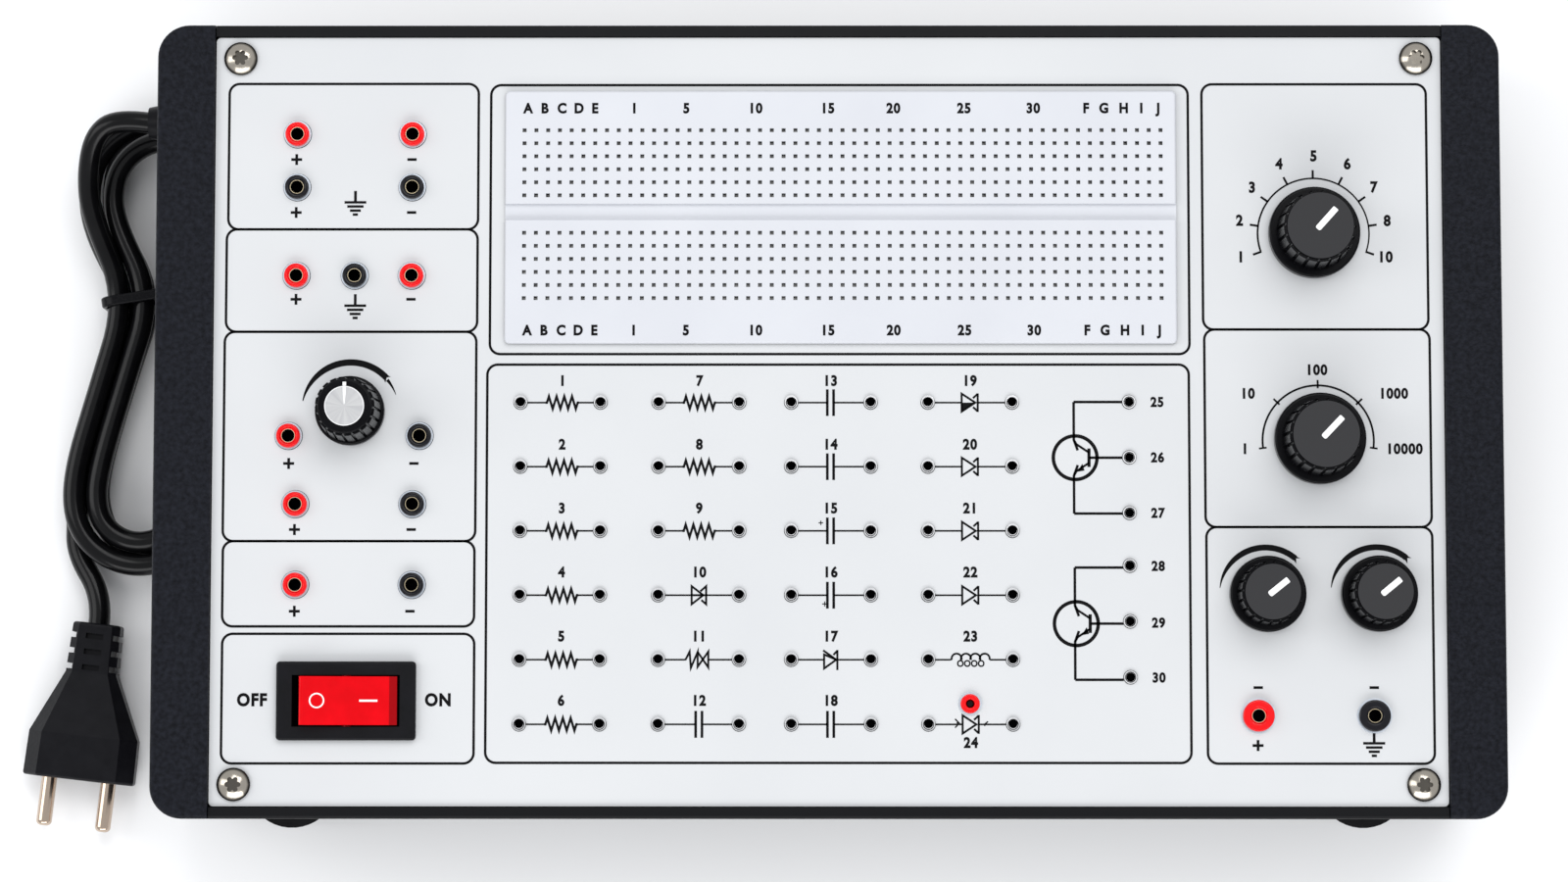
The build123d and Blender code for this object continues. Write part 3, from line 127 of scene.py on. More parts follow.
# %% Lead as a curve
lead_curve = bpy.data.curves.new("mains_lead", "CURVE")
lead_curve.dimensions = "3D"
lead_curve.bevel_depth = 1.0
lead_curve.bevel_resolution = 6
lead_curve.resolution_u = 8
lead_curve.use_fill_caps = True
line = lead_curve.splines.new("NURBS")
line.points.add(len(route) - 1)
line.points.foreach_set("co", np.column_stack([route, np.ones(len(route))]).ravel())
line.points.foreach_set("radius", np.full(len(route), LEAD_DIAMETER / 2000.0))
line.order_u = 3
line.use_endpoint_u = True
mains_lead = bpy.data.objects.new("mains_lead", lead_curve)
bpy.context.scene.collection.objects.link(mains_lead)
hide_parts("mains_lead_start", "mains_lead_hank", "mains_lead_end")
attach(mains_lead, "case")
print("lead drawn with", len(line.points), "points")

# %% [markdown]
# Almost every drawn line here is a ribbon: a flat bar that follows a path in the panel's plane.
# Its surface is a function of two parameters, the place along the path and the corner of its
# small rectangular section. At a bend the side moves along the mitre, the sum of the two
# normals over one plus their dot product, so the ribbon keeps its width. A bevelled curve could
# draw such a line too, but a ribbon has crisp edges and may change its width along the way.

# %% Ribbons
INK = 0.00006  # the thickness of a printed film, in metres


def mitred_sides(path, widths, closed):
    """Left and right side of a path: the point plus or minus half the width along the mitre."""
    ahead = np.roll(path, -1, axis=0) - path
    if not closed:
        ahead[-1] = ahead[-2]
    ahead /= np.linalg.norm(ahead, axis=1, keepdims=True)
    behind = np.roll(ahead, 1, axis=0)
    if not closed:
        behind[0] = ahead[0]
        ahead[-1] = behind[-1]
    first = np.stack([-behind[:, 1], behind[:, 0]], axis=1)
    second = np.stack([-ahead[:, 1], ahead[:, 0]], axis=1)
    mitre = (first + second) / (1.0 + np.sum(first * second, axis=1, keepdims=True))
    half = np.asarray(widths).reshape(-1, 1) / 2.0
    return path + mitre * half, path - mitre * half


def ribbon(path, width, base=0.0, height=INK, closed=False):
    """A bar along a path in millimetres: four corners of a section at each point of the path."""
    path = np.asarray(path, float)
    widths = np.broadcast_to(np.asarray(width, float), (len(path),))
    left, right = mitred_sides(path, widths, closed)
    low = np.full((len(path), 1), base)
    high = low + height * 1000.0
    corners = ((left, low), (left, high), (right, high), (right, low))
    points = np.stack([np.hstack(corner) for corner in corners], axis=1).reshape(-1, 3)
    count = len(path) if closed else len(path) - 1
    row = np.arange(count)[:, None]
    side = np.arange(4)[None, :]
    here, there = row * 4, ((row + 1) % len(path)) * 4
    quads = np.stack([here + side, here + (side + 1) % 4, there + (side + 1) % 4, there + side], axis=2)
    faces = quads.reshape(-1, 4).tolist()
    if not closed:
        last = 4 * (len(path) - 1)
        faces += [[3, 2, 1, 0], [last, last + 1, last + 2, last + 3]]
    return points, faces


square, square_faces = ribbon([(0, 0), (1, 0), (1, 1), (0, 1)], 0.1, closed=True)
print("a square ribbon has", len(square), "points and", len(square_faces), "faces")

# %% [markdown]
# Shapes with an outline of their own, such as a pointer or an arrow's head, are plates. Shapes
# of one print are gathered into one mesh, because they are one piece on the real object too.
# Everything is drawn in millimetres from the panel's middle, and moved to its height at the end.

# %% Plates, arcs and how they become objects
PANEL_TOP = 0.074


def plate(outline, base=0.0, height=INK):
    """A flat shape with straight sides: the outline twice, a face on each and quads between."""
    outline = np.asarray(outline, float)
    across, up = outline.T
    area = np.sum(across * np.roll(up, -1) - up * np.roll(across, -1))
    outline = outline if area > 0 else outline[::-1]
    count = len(outline)
    low = np.hstack([outline, np.full((count, 1), base)])
    high = low + [0.0, 0.0, height * 1000.0]
    index = np.arange(count)
    sides = np.stack([index, (index + 1) % count, (index + 1) % count + count, index + count], axis=1)
    faces = sides.tolist() + [(index + count).tolist(), index[::-1].tolist()]
    return np.vstack([low, high]), faces


def gather(shapes):
    """Several shapes as one: their points in a row, and each face's numbers moved on to match."""
    points, faces, start = [], [], 0
    for shape_points, shape_faces in shapes:
        points.append(shape_points)
        faces += [[start + corner for corner in face] for face in shape_faces]
        start += len(shape_points)
    return np.vstack(points), faces


def arc(centre, radius, start, end, steps=32):
    """Points on a circle, from one clock angle to another, in degrees clockwise from the top."""
    angles = np.radians(np.linspace(start, end, steps))
    return np.stack([centre[0] + radius * np.sin(angles), centre[1] + radius * np.cos(angles)], axis=1)


def add_piece(name, points, faces):
    """One mesh object from an array of points and a list of faces."""
    mesh = bpy.data.meshes.new(name)
    mesh.from_pydata(points.tolist(), [], faces)
    mesh.validate()
    piece = bpy.data.objects.new(name, mesh)
    bpy.context.scene.collection.objects.link(piece)
    return piece


def on_panel(name, shapes, body="case", top=PANEL_TOP):
    """Shapes drawn in millimetres from the panel's middle become one thin piece on the panel."""
    points, faces = gather(shapes)
    piece = add_piece(name, points / 1000.0 + [0.0, 0.0, top], faces)
    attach(piece, body)
    print(name, len(piece.data.polygons), "faces")
    return piece


# %% [markdown]
# A finish is a small node tree: a principled shader and one or two noises. All patterns read
# Object coordinates, which are metres from the object's origin here, so a noise of scale 2000
# has grains of about half a millimetre. A picture texture could give the same grain, but a
# noise needs no unwrapping and has no seams.

# %% Shader and noise
def new_material(name, **sockets):
    """A principled shader with the given sockets set, such as Specular_IOR_Level=0.2."""
    material = bpy.data.materials.new(name)
    material.use_nodes = True
    shader = material.node_tree.nodes["Principled BSDF"]
    for socket, value in sockets.items():
        value = (*value, 1.0) if isinstance(value, tuple) else value
        shader.inputs[socket.replace("_", " ")].default_value = value
    return material


def add_noise(material, scale, detail=4.0, kind="ShaderNodeTexNoise"):
    """A noise on the Object coordinates. Its first output is a number between 0 and 1."""
    tree = material.node_tree
    place = tree.nodes.new("ShaderNodeTexCoord")
    noise = tree.nodes.new(kind)
    noise.inputs["Scale"].default_value = scale
    if kind == "ShaderNodeTexNoise":
        noise.inputs["Detail"].default_value = detail
    tree.links.new(place.outputs["Object"], noise.inputs["Vector"])
    return noise


# %% [markdown]
# A noise is used in two ways. It tilts the surface, as if it had bumps, or it moves a colour or
# a number of the shader between two values. The last helper puts a finish on solids by name.

# %% Bumps, varied values and dressing
def add_bump(material, noise, strength, distance):
    """The noise tilts the surface as if it stood that far up, in metres, times the strength."""
    tree = material.node_tree
    bump = tree.nodes.new("ShaderNodeBump")
    bump.inputs["Strength"].default_value = strength
    bump.inputs["Distance"].default_value = distance
    tree.links.new(noise.outputs[0], bump.inputs["Height"])
    tree.links.new(bump.outputs["Normal"], tree.nodes["Principled BSDF"].inputs["Normal"])


def vary(material, noise, socket, low, high):
    """A noise between 0.3 and 0.7 moves a colour or a number of the shader from low to high."""
    tree = material.node_tree
    ramp = tree.nodes.new("ShaderNodeValToRGB")
    for element, position, value in zip(ramp.color_ramp.elements, (0.3, 0.7), (low, high)):
        element.position = position
        element.color = (*(value if isinstance(value, tuple) else (value,) * 3), 1.0)
    tree.links.new(noise.outputs[0], ramp.inputs["Fac"])
    tree.links.new(ramp.outputs["Color"], tree.nodes["Principled BSDF"].inputs[socket])


def dress(material, *names):
    """The material goes into every slot of the named CAD nodes."""
    for name in names:
        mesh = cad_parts[name].data
        mesh.materials.clear()
        mesh.materials.append(material)
    print(material.name, "on", ", ".join(names))

# %% [markdown]
# The case is dark on all sides. The cheeks are moulded plastic with a fine pebbled grain, which
# a Voronoi texture gives: each cell is one pebble. The rails are smoother, powder coated metal.
# Both are nearly black with a little blue, and a second noise keeps them from looking flat.

# %% Black finishes of the case
pebbled = new_material("pebbled_black", Roughness=0.5, Specular_IOR_Level=0.1)
add_bump(pebbled, add_noise(pebbled, 1500.0, kind="ShaderNodeTexVoronoi"), 0.55, 0.00025)
shades = add_noise(pebbled, 700.0, detail=3.0)
vary(pebbled, shades, "Base Color", (0.0030, 0.0034, 0.0056), (0.0110, 0.0122, 0.0178))
dress(pebbled, "left_cheek", "right_cheek")

powder = new_material("powder_black", Base_Color=(0.003, 0.0032, 0.0042), Specular_IOR_Level=0.14)
add_bump(powder, add_noise(powder, 2600.0), 0.3, 0.0001)
vary(powder, add_noise(powder, 300.0), "Roughness", 0.42, 0.48)
dress(powder, "front_fascia", "rear_fascia", "bottom_tray")

foot_rubber = new_material("foot_rubber", Roughness=0.75, Specular_IOR_Level=0.2)
add_bump(foot_rubber, add_noise(foot_rubber, 900.0), 0.4, 0.0003)
shades = add_noise(foot_rubber, 120.0)
vary(foot_rubber, shades, "Base Color", (0.004, 0.004, 0.0045), (0.009, 0.009, 0.010))
dress(foot_rubber, "rubber_feet")

# %% [markdown]
# The panel is printed sheet: a cold, even white with a satin gloss. Its grain is hardly seen, so
# the noise that bumps it is weak, and the one that tints it goes between two close whites.
# The plug-in board is a smoother plastic of nearly the same colour, and its holes are painted
# dark as shade from a little below its top.

# %% Whites of the panel and the plug-in board
def darker_past(material, axis, dark_at, full_at, dark):
    """Between two places on an axis, in millimetres, the colour goes from a painted shade to its full
    tone.
    """
    tree = material.node_tree
    base = tree.nodes["Principled BSDF"].inputs["Base Color"]
    place = tree.nodes.new("ShaderNodeTexCoord")
    axes = tree.nodes.new("ShaderNodeSeparateXYZ")
    ramp = tree.nodes.new("ShaderNodeMapRange")
    ramp.inputs["From Min"].default_value = dark_at / 1000.0
    ramp.inputs["From Max"].default_value = full_at / 1000.0
    mix = tree.nodes.new("ShaderNodeMix")
    mix.data_type = "RGBA"
    mix.inputs["A"].default_value = (*dark, 1.0)
    if base.is_linked:
        tree.links.new(base.links[0].from_socket, mix.inputs["B"])
    else:
        mix.inputs["B"].default_value = base.default_value[:]
    tree.links.new(place.outputs["Object"], axes.inputs["Vector"])
    tree.links.new(axes.outputs[axis], ramp.inputs["Value"])
    tree.links.new(ramp.outputs["Result"], mix.inputs["Factor"])
    tree.links.new(mix.outputs["Result"], base)
    return material


def shaded_inside(material, level, depth=0.5, dark=(0.003, 0.003, 0.004)):
    """From a height in millimetres down, the colour turns to a painted shade, the near black of a deep
    hole.
    """
    return darker_past(material, "Z", level - depth, level, dark)


panel_white = new_material("panel_white", Roughness=0.45, Specular_IOR_Level=0.3)
add_bump(panel_white, add_noise(panel_white, 3000.0), 0.05, 0.00005)
shades = add_noise(panel_white, 14.0)
vary(panel_white, shades, "Base Color", (0.588, 0.598, 0.610), (0.618, 0.627, 0.637))
dress(panel_white, "front_panel")

board_white = new_material("board_white", Roughness=0.38, Specular_IOR_Level=0.35)
add_bump(board_white, add_noise(board_white, 1800.0), 0.06, 0.00005)
shades = add_noise(board_white, 30.0)
vary(board_white, shades, "Base Color", (0.583, 0.595, 0.633), (0.616, 0.628, 0.663))
# Painted shade: the board's holes turn near black from 74.6 millimetres down.
dress(shaded_inside(board_white, 74.6, 0.3), "plug_in_board")

# %% [markdown]
# The bright pieces are plated. A metal's colour is its base colour, so nickel is a warm grey and
# the sockets' rings are a cold one. Fine scratches all round make the highlights soft: they
# come from a noise that also moves the roughness.

# %% Metals
def plated(name, colour, smooth, rough):
    """A metal whose roughness wanders between two values, with a trace of the same unevenness."""
    metal = new_material(name, Base_Color=colour, Metallic=1.0)
    worn = add_noise(metal, 240.0)
    vary(metal, worn, "Roughness", smooth, rough)
    add_bump(metal, worn, 0.02, 0.00005)
    return metal


shafts = [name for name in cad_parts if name.endswith("_shaft")]
dress(plated("pin_nickel", (0.56, 0.45, 0.36), 0.10, 0.16), "plug_pins")
dress(plated("cold_nickel", (0.66, 0.71, 0.78), 0.26, 0.34), "socket_rings", "control_nuts")
dress(plated("zinc_plate", (0.55, 0.56, 0.57), 0.30, 0.50),
      "foot_screws", "cheek_screws", "socket_nuts", "gland_nut")
dress(plated("sheet_steel", (0.50, 0.50, 0.50), 0.35, 0.55),
      "transformer_core", "transformer_brackets", "switch_blades")
dress(plated("clip_metal", (0.62, 0.61, 0.58), 0.30, 0.45), "board_clips")
dress(plated("turned_steel", (0.60, 0.60, 0.60), 0.22, 0.42), *shafts)
dress(plated("pressed_alloy", (0.66, 0.66, 0.64), 0.35, 0.5), "panel_controls", "panel_pillars")

# %% [markdown]
# Three of the metals have a recess or a hole that almost no light reaches: the panel screws'
# six-lobe recess, the tip sockets' sleeves and the brass contacts of the large sockets. From a
# height down their colour is painted dark as shade, which also paints a dark rim of shade on the
# screws' domed heads.

# %% Metals with painted shade in their recesses
warm_nickel = plated("warm_nickel", (0.46, 0.42, 0.36), 0.14, 0.22)
sleeve_nickel = plated("sleeve_nickel", (0.78, 0.78, 0.79), 0.26, 0.36)
socket_brass = plated("socket_brass", (0.95, 0.80, 0.52), 0.2, 0.3)
dress(shaded_inside(warm_nickel, 75.85, 0.6, (0.03, 0.028, 0.024)), "panel_screws")
dress(shaded_inside(sleeve_nickel, 74.5, 0.2), "tip_sleeves")
dress(shaded_inside(socket_brass, 75.59, 0.1), "socket_contacts")

# %% [markdown]
# Gloss plastics are dielectrics with low roughness. The red and the black of the sockets and the
# light are moulded, so their highlights are sharp but not perfect, with a slow unevenness.

# %% Gloss plastics
def moulded(name, dark, light, smooth, rough, bump=0.06, shine=0.22):
    """A plastic whose colour goes slowly from dark to light, and whose gloss wanders faster."""
    plastic = new_material(name, Specular_IOR_Level=shine)
    vary(plastic, add_noise(plastic, 160.0), "Base Color", dark, light)
    fine = add_noise(plastic, 900.0)
    vary(plastic, fine, "Roughness", smooth, rough)
    add_bump(plastic, fine, bump, 0.0001)
    return plastic


gloss_red = moulded("gloss_red", (0.72, 0.001, 0.003), (0.84, 0.002, 0.005), 0.14, 0.22, 0.03, 0.3)
gloss_black = moulded(
    "gloss_black", (0.003, 0.003, 0.005), (0.006, 0.006, 0.009), 0.14, 0.22, 0.03, 0.28
)
lens_dark = moulded("lens_dark", (0.006, 0.001, 0.001), (0.012, 0.002, 0.002), 0.08, 0.16)
dress(gloss_red, "red_socket_bodies", "light_collar")
dress(gloss_black, "black_socket_bodies")
dress(lens_dark, "light_lens")

# %% [markdown]
# The switch's frame is a duller black than the sockets. The rocker is red all over, but its right
# end turns down and away from the light, so past a line near that end a darker red is painted
# in as shade.

# %% Plastics of the power switch
bezel_black = moulded(
    "bezel_black", (0.002, 0.002, 0.003), (0.004, 0.004, 0.006), 0.34, 0.46, 0.12, 0.16
)
rocker_red = moulded("rocker_red", (0.62, 0.0005, 0.004), (0.72, 0.001, 0.006), 0.16, 0.24, 0.03, 0.1)
dress(bezel_black, "switch_frame")
# Painted shade: a darker red past a line near the rocker's right end.
dress(darker_past(rocker_red, "X", -135.6, -135.9, (0.30, 0.0005, 0.003)), "rocker")

# %% [markdown]
# The plug is a tough, slightly grained black, the lead's sleeve is smoother and shows the lights
# as fine lines along it, and the tie is a glossy band between the two.

# %% Plastics of the mains lead
plug_black = moulded(
    "plug_black", (0.0025, 0.0025, 0.004), (0.0055, 0.0055, 0.0075), 0.32, 0.44, 0.3, 0.14
)
tie_black = moulded("tie_black", (0.003, 0.003, 0.004), (0.006, 0.006, 0.007), 0.2, 0.32, 0.06, 0.1)
lead_black = moulded(
    "lead_black", (0.0025, 0.0025, 0.003), (0.0045, 0.0045, 0.005), 0.15, 0.22, 0.02, 0.2
)
dress(plug_black, "plug_body", "cord_gland")
dress(tie_black, "hank_tie")
mains_lead.data.materials.append(lead_black)

# %% [markdown]
# A skirted knob is one moulding, but its flat top has a matt spark-eroded face of dark grey,
# while the fluted grip and the skirt are polished. Height tells them apart: the top starts
# less than a millimetre under the highest point, so a ramp on the Z coordinate mixes the two.
# All knobs stand on one level, and the selector and the multiplier are two millimetres taller.

# %% Knobs
KNOB_BASE, LARGE_KNOB, SMALL_KNOB = 74.8, 19.0, 17.0
FACE_COLOUR, FACE_ROUGHNESS = (0.036, 0.036, 0.038, 1.0), (0.62, 0.62, 0.62, 1.0)


def knob_plastic(name, top):
    """Gloss black, with a matt face from 0.3 to 0.12 millimetres under the top upwards."""
    plastic = moulded(name, (0.0015, 0.0015, 0.0022), (0.0030, 0.0030, 0.0040), 0.18, 0.28, 0.03, 0.10)
    tree = plastic.node_tree
    shader = tree.nodes["Principled BSDF"]
    place = tree.nodes.new("ShaderNodeTexCoord")
    axes = tree.nodes.new("ShaderNodeSeparateXYZ")
    above = tree.nodes.new("ShaderNodeMapRange")
    above.inputs["From Min"].default_value = (top - 0.30) / 1000.0
    above.inputs["From Max"].default_value = (top - 0.12) / 1000.0
    tree.links.new(place.outputs["Object"], axes.inputs["Vector"])
    tree.links.new(axes.outputs["Z"], above.inputs["Value"])
    for socket, value in (("Base Color", FACE_COLOUR), ("Roughness", FACE_ROUGHNESS)):
        mix = tree.nodes.new("ShaderNodeMix")
        mix.data_type = "RGBA"
        tree.links.new(above.outputs["Result"], mix.inputs["Factor"])
        tree.links.new(shader.inputs[socket].links[0].from_socket, mix.inputs["A"])
        mix.inputs["B"].default_value = value
        tree.links.new(mix.outputs["Result"], shader.inputs[socket])
    return plastic


supply_black = moulded(
    "supply_knob_black", (0.0015, 0.0015, 0.0022), (0.0035, 0.0035, 0.0045), 0.2, 0.32, 0.03, 0.09
)
large_black = knob_plastic("large_knob_black", KNOB_BASE + LARGE_KNOB)
small_black = knob_plastic("small_knob_black", KNOB_BASE + SMALL_KNOB)
dress(large_black, "selector_knob", "multiplier_knob")
dress(small_black, "amplitude_knob", "frequency_knob")
dress(supply_black, "supply_knob")

# %% [markdown]
# What is inside the case doesn't show until it is opened, but it has its own finishes too:
# green boards, a taped coil, sleeved cans and dark moulded parts.

# %% Finishes inside the case
inside = {
    "board_green": ((0.010, 0.09, 0.04), (0.016, 0.13, 0.06), 0.3, 0.45,
                    "component_board", "generator_board", "power_board"),
    "white_nylon": ((0.70, 0.70, 0.66), (0.78, 0.78, 0.75), 0.4, 0.5,
                    "board_posts", "board_backing"),
    "resistor_beige": ((0.45, 0.33, 0.18), (0.58, 0.45, 0.28), 0.4, 0.5, "trainer_resistors"),
    "can_blue": ((0.02, 0.03, 0.12), (0.04, 0.06, 0.20), 0.2, 0.35,
                 "trainer_capacitors", "smoothing_capacitors"),
    "chip_black": ((0.010, 0.010, 0.010), (0.020, 0.020, 0.021), 0.4, 0.55,
                   "trainer_semiconductors", "regulators", "heatsink"),
    "choke_green": ((0.02, 0.10, 0.05), (0.03, 0.15, 0.08), 0.25, 0.4, "trainer_choke"),
    "coil_tape": ((0.45, 0.28, 0.05), (0.58, 0.38, 0.08), 0.3, 0.45, "transformer_coil"),
}
for name, (dark, light, smooth, rough, *nodes) in inside.items():
    dress(moulded(name, dark, light, smooth, rough), *nodes)

# %% [markdown]
# The supply knob's cap is spun aluminium, with streaks that run round and make the light fan
# out from the middle. Those spokes of light are a painted reflection in the base colour, from a
# noise on the angle alone: the cap's Object coordinates are moved to its centre, turned into an
# angle, and the noise reads that angle.

# %% Spun cap of the supply knob
SUPPLY = (-148.8, 2.5)
spun = new_material("spun_aluminium", Roughness=0.42, Metallic=0.85)
tree = spun.node_tree
coordinates = tree.nodes.new("ShaderNodeTexCoord")
centred = tree.nodes.new("ShaderNodeMapping")
centred.inputs["Location"].default_value = (-SUPPLY[0] / 1000, -SUPPLY[1] / 1000, 0.0)
axes = tree.nodes.new("ShaderNodeSeparateXYZ")
angle = tree.nodes.new("ShaderNodeMath")
angle.operation = "ARCTAN2"
painted_spokes = tree.nodes.new("ShaderNodeTexNoise")
painted_spokes.noise_dimensions = "1D"
painted_spokes.inputs["Scale"].default_value = 2.4
painted_spokes.inputs["Detail"].default_value = 3.0
shade = tree.nodes.new("ShaderNodeValToRGB")
darker, lighter = shade.color_ramp.elements
darker.position, darker.color = 0.36, (0.50, 0.50, 0.51, 1.0)
lighter.position, lighter.color = 0.62, (0.59, 0.59, 0.59, 1.0)
tree.links.new(coordinates.outputs["Object"], centred.inputs["Vector"])
tree.links.new(centred.outputs["Vector"], axes.inputs["Vector"])
tree.links.new(axes.outputs["Y"], angle.inputs[0])
tree.links.new(axes.outputs["X"], angle.inputs[1])
tree.links.new(angle.outputs["Value"], painted_spokes.inputs["W"])
tree.links.new(painted_spokes.outputs[0], shade.inputs["Fac"])
tree.links.new(shade.outputs["Color"], tree.nodes["Principled BSDF"].inputs["Base Color"])
dress(spun, "supply_cap")

# %% [markdown]
# Ink is a thin matt film. Each colour of ink is one finish, and the noise in it is that of the
# screen it was printed through, much finer than a line is wide. A picture laid over the panel
# could carry the printing too, but thin shapes stay sharp however close the view is.

# %% Inks
def printed(name, colour):
    """A matt film whose colour goes up by a twelfth and back, in the fine grain of the screen."""
    ink = new_material(name, Roughness=0.6, Specular_IOR_Level=0.1)
    screen = add_noise(ink, 2500.0)
    lighter = tuple(min(1.0, channel * 1.08 + 0.001) for channel in colour)
    vary(ink, screen, "Base Color", colour, lighter)
    add_bump(ink, screen, 0.1, 0.00002)
    return ink


black_ink = printed("black_ink", (0.0015, 0.0015, 0.002))
white_ink = printed("white_ink", (0.82, 0.82, 0.82))
print("inks", black_ink.name, "and", white_ink.name)


def inked(piece, ink):
    """The piece takes the ink as its one material."""
    piece.data.materials.append(ink)

# %% [markdown]
# Each group of sockets and controls stands in its own box, a thin line with rounded corners. The
# boxes are listed as left, top, right and bottom in millimetres from the panel's middle. Two
# boxes that share an edge both draw it, as on the real panel, where their corners meet in a fork.

# %% Boxes round the groups
def rounded_box(left, top, right, bottom, radius):
    """Four quarter circles, one at each corner, joined into one closed path."""
    corners = [
        arc((right - radius, top - radius), radius, 0, 90, 9),
        arc((right - radius, bottom + radius), radius, 90, 180, 9),
        arc((left + radius, bottom + radius), radius, 180, 270, 9),
        arc((left + radius, top - radius), radius, 270, 360, 9),
    ]
    return np.vstack(corners)


BOX_LINE, BOX_CORNER = 0.78, 3.2
boxes = [
    (-187.5, 105.5, -109.4, 59.6), (-187.9, 59.6, -109.5, 27.4), (-188.2, 27.4, -109.7, -38.0),
    (-188.1, -38.0, -109.9, -64.5), (-188.0, -66.8, -109.8, -106.9), (-105.5, 105.1, 112.6, 20.4),
    (-106.2, 17.1, 112.3, -106.7), (116.9, 105.3, 187.1, 28.1), (117.2, 28.1, 187.4, -33.6),
    (117.4, -33.6, 187.5, -106.9),
]
lines = [ribbon(rounded_box(*box, BOX_CORNER), BOX_LINE, closed=True) for box in boxes]
inked(on_panel("group_boxes", lines), black_ink)

# %% [markdown]
# Numbers and signs come from Blender's own font. A text object is turned into a mesh while it
# still sits at the origin, and then its points are scaled so that a capital has the wanted
# height, and moved to their place. A small offset makes the strokes as bold as on the panel, and
# the letters are a little narrower than the font's own and further apart.

# %% Text as shapes
CAPITAL_SHARE, NARROWED, BOLD, SPACING = 0.729, 0.92, 0.045, 1.14


def lettering(text, x, y, capital=3.35):
    """Text whose capitals are so many millimetres high, centred on a point, as points and faces."""
    curve = bpy.data.curves.new("letters", "FONT")
    curve.body = text
    curve.align_x = "CENTER"
    curve.offset = BOLD
    curve.space_character = SPACING
    curve.resolution_u = 4
    curve.extrude = 0.5
    holder = bpy.data.objects.new("letters", curve)
    mesh = bpy.data.meshes.new_from_object(holder)
    points = np.empty(3 * len(mesh.vertices))
    mesh.vertices.foreach_get("co", points)
    points = points.reshape(-1, 3)
    faces = [list(face.vertices) for face in mesh.polygons]
    scale = capital / CAPITAL_SHARE
    points[:, 0] = points[:, 0] * NARROWED * scale + x
    points[:, 1] = points[:, 1] * scale + y - capital / 2
    points[:, 2] = (points[:, 2] + 0.5) * INK * 1000.0
    bpy.data.objects.remove(holder)
    bpy.data.curves.remove(curve)
    bpy.data.meshes.remove(mesh)
    return points, faces


print("a sample has", len(lettering("10", 0, 0)[1]), "faces")

# %% [markdown]
# The selector's scale is a thin circle line with nine ticks at even angles, from tick 1 at the
# lower left to tick 10 at the lower right. The line is a little stronger on the left.

# %% Scale of the selector
SELECTOR = (151.5, 58.2)
LAST_TICK, TICK_SPAN, SCALE_RADIUS = 109.3, (17.2, 20.0), 17.4
numbers = ["1", "2", "3", "4", "5", "6", "7", "8", "10"]
number_places = [
    (128.8, 51.0), (128.5, 62.5), (132.5, 72.9), (141.0, 80.3), (151.8, 82.8), (162.3, 80.3),
    (170.5, 73.0), (174.6, 62.4), (173.9, 51.0),
]


def spoke(centre, degrees, inner, outer):
    """A straight path from one radius to another at a clock angle."""
    return [arc(centre, radius, degrees, degrees, 1)[0] for radius in (inner, outer)]


ticks = np.linspace(-LAST_TICK, LAST_TICK, len(numbers))
circle_line = arc(SELECTOR, SCALE_RADIUS, -LAST_TICK, LAST_TICK, 73)
shapes = [ribbon(circle_line, np.linspace(0.6, 0.45, len(circle_line)))]
shapes += [ribbon(spoke(SELECTOR, degrees, *TICK_SPAN), 0.68) for degrees in ticks]
shapes += [lettering(text, *place) for text, place in zip(numbers, number_places)]
inked(on_panel("selector_scale", shapes), black_ink)

# %% [markdown]
# The multiplier has five positions. Its line is a stronger one, the middle ticks cross it and
# the end ticks lie flat. Plain numbers stand at the positions. As on the real panel, the scale
# is printed half a millimetre off the knob's own centre.

# %% Scale of the multiplier
MULTIPLIER, MULTIPLIER_SCALE = (152.7, -6.2), (152.4, -6.7)
END_TICK, SIDE_TICK = 97.6, 46.5
END_SPAN, SIDE_SPAN = (16.2, 18.6), (16.4, 19.0)
labels = [
    ("1", 129.6, -9.1), ("10", 130.6, 8.2), ("100", 152.1, 15.6), ("1000", 176.0, 8.2),
    ("10000", 179.2, -9.1),
]
shapes = [ribbon(arc(MULTIPLIER_SCALE, 17.3, -END_TICK, END_TICK, 73), 0.62)]
for degrees in (-SIDE_TICK, 0.0, SIDE_TICK):
    shapes.append(ribbon(spoke(MULTIPLIER_SCALE, degrees, *SIDE_SPAN), 0.6))
for degrees in (-END_TICK, END_TICK):
    shapes.append(ribbon(spoke(MULTIPLIER_SCALE, degrees, *END_SPAN), 0.55))
shapes += [lettering(text, x, y, 3.2) for text, x, y in labels]
inked(on_panel("multiplier_scale", shapes), black_ink)

# %% [markdown]
# Over the three stepless knobs a curved arrow grows from nothing to a broad stroke, the sign for
# more. It is a ribbon whose width is a list, one value for each point of the path, and its head
# is a notched plate. The supply knob's arrow has a thin tail past its head.

# %% Arrows over the stepless knobs
AMPLITUDE, FREQUENCY = (136.1, -54.5), (170.6, -54.4)


def growing(count, thin, thick):
    """Widths that rise along a sine from thin to thick over half of the path, then stay."""
    share = np.clip(np.linspace(0, 1, count) * 2.0, 0, 1)
    return thin + (thick - thin) * np.sin(share * math.pi / 2)


def notched_head(centre, radius, degrees, width, length):
    """An end with two points and a notch between them, whose lengths are degrees of the arc."""
    corners = ((0.7, 0.02), (1.0, length), (0.15, 1.0), (-1.0, length + 1.5), (-0.7, 0.02))
    return plate([
        arc(centre, radius + side * width / 2, degrees + ahead, degrees + ahead, 1)[0]
        for side, ahead in corners
    ])


def arrow(centre, radius, start, end, widths, head_width, head_length):
    """A growing stroke on the arc from start to end, and the head at its end."""
    stroke = ribbon(arc(centre, radius, start, end, 49), growing(49, *widths))
    return stroke, notched_head(centre, radius, end, head_width, head_length)


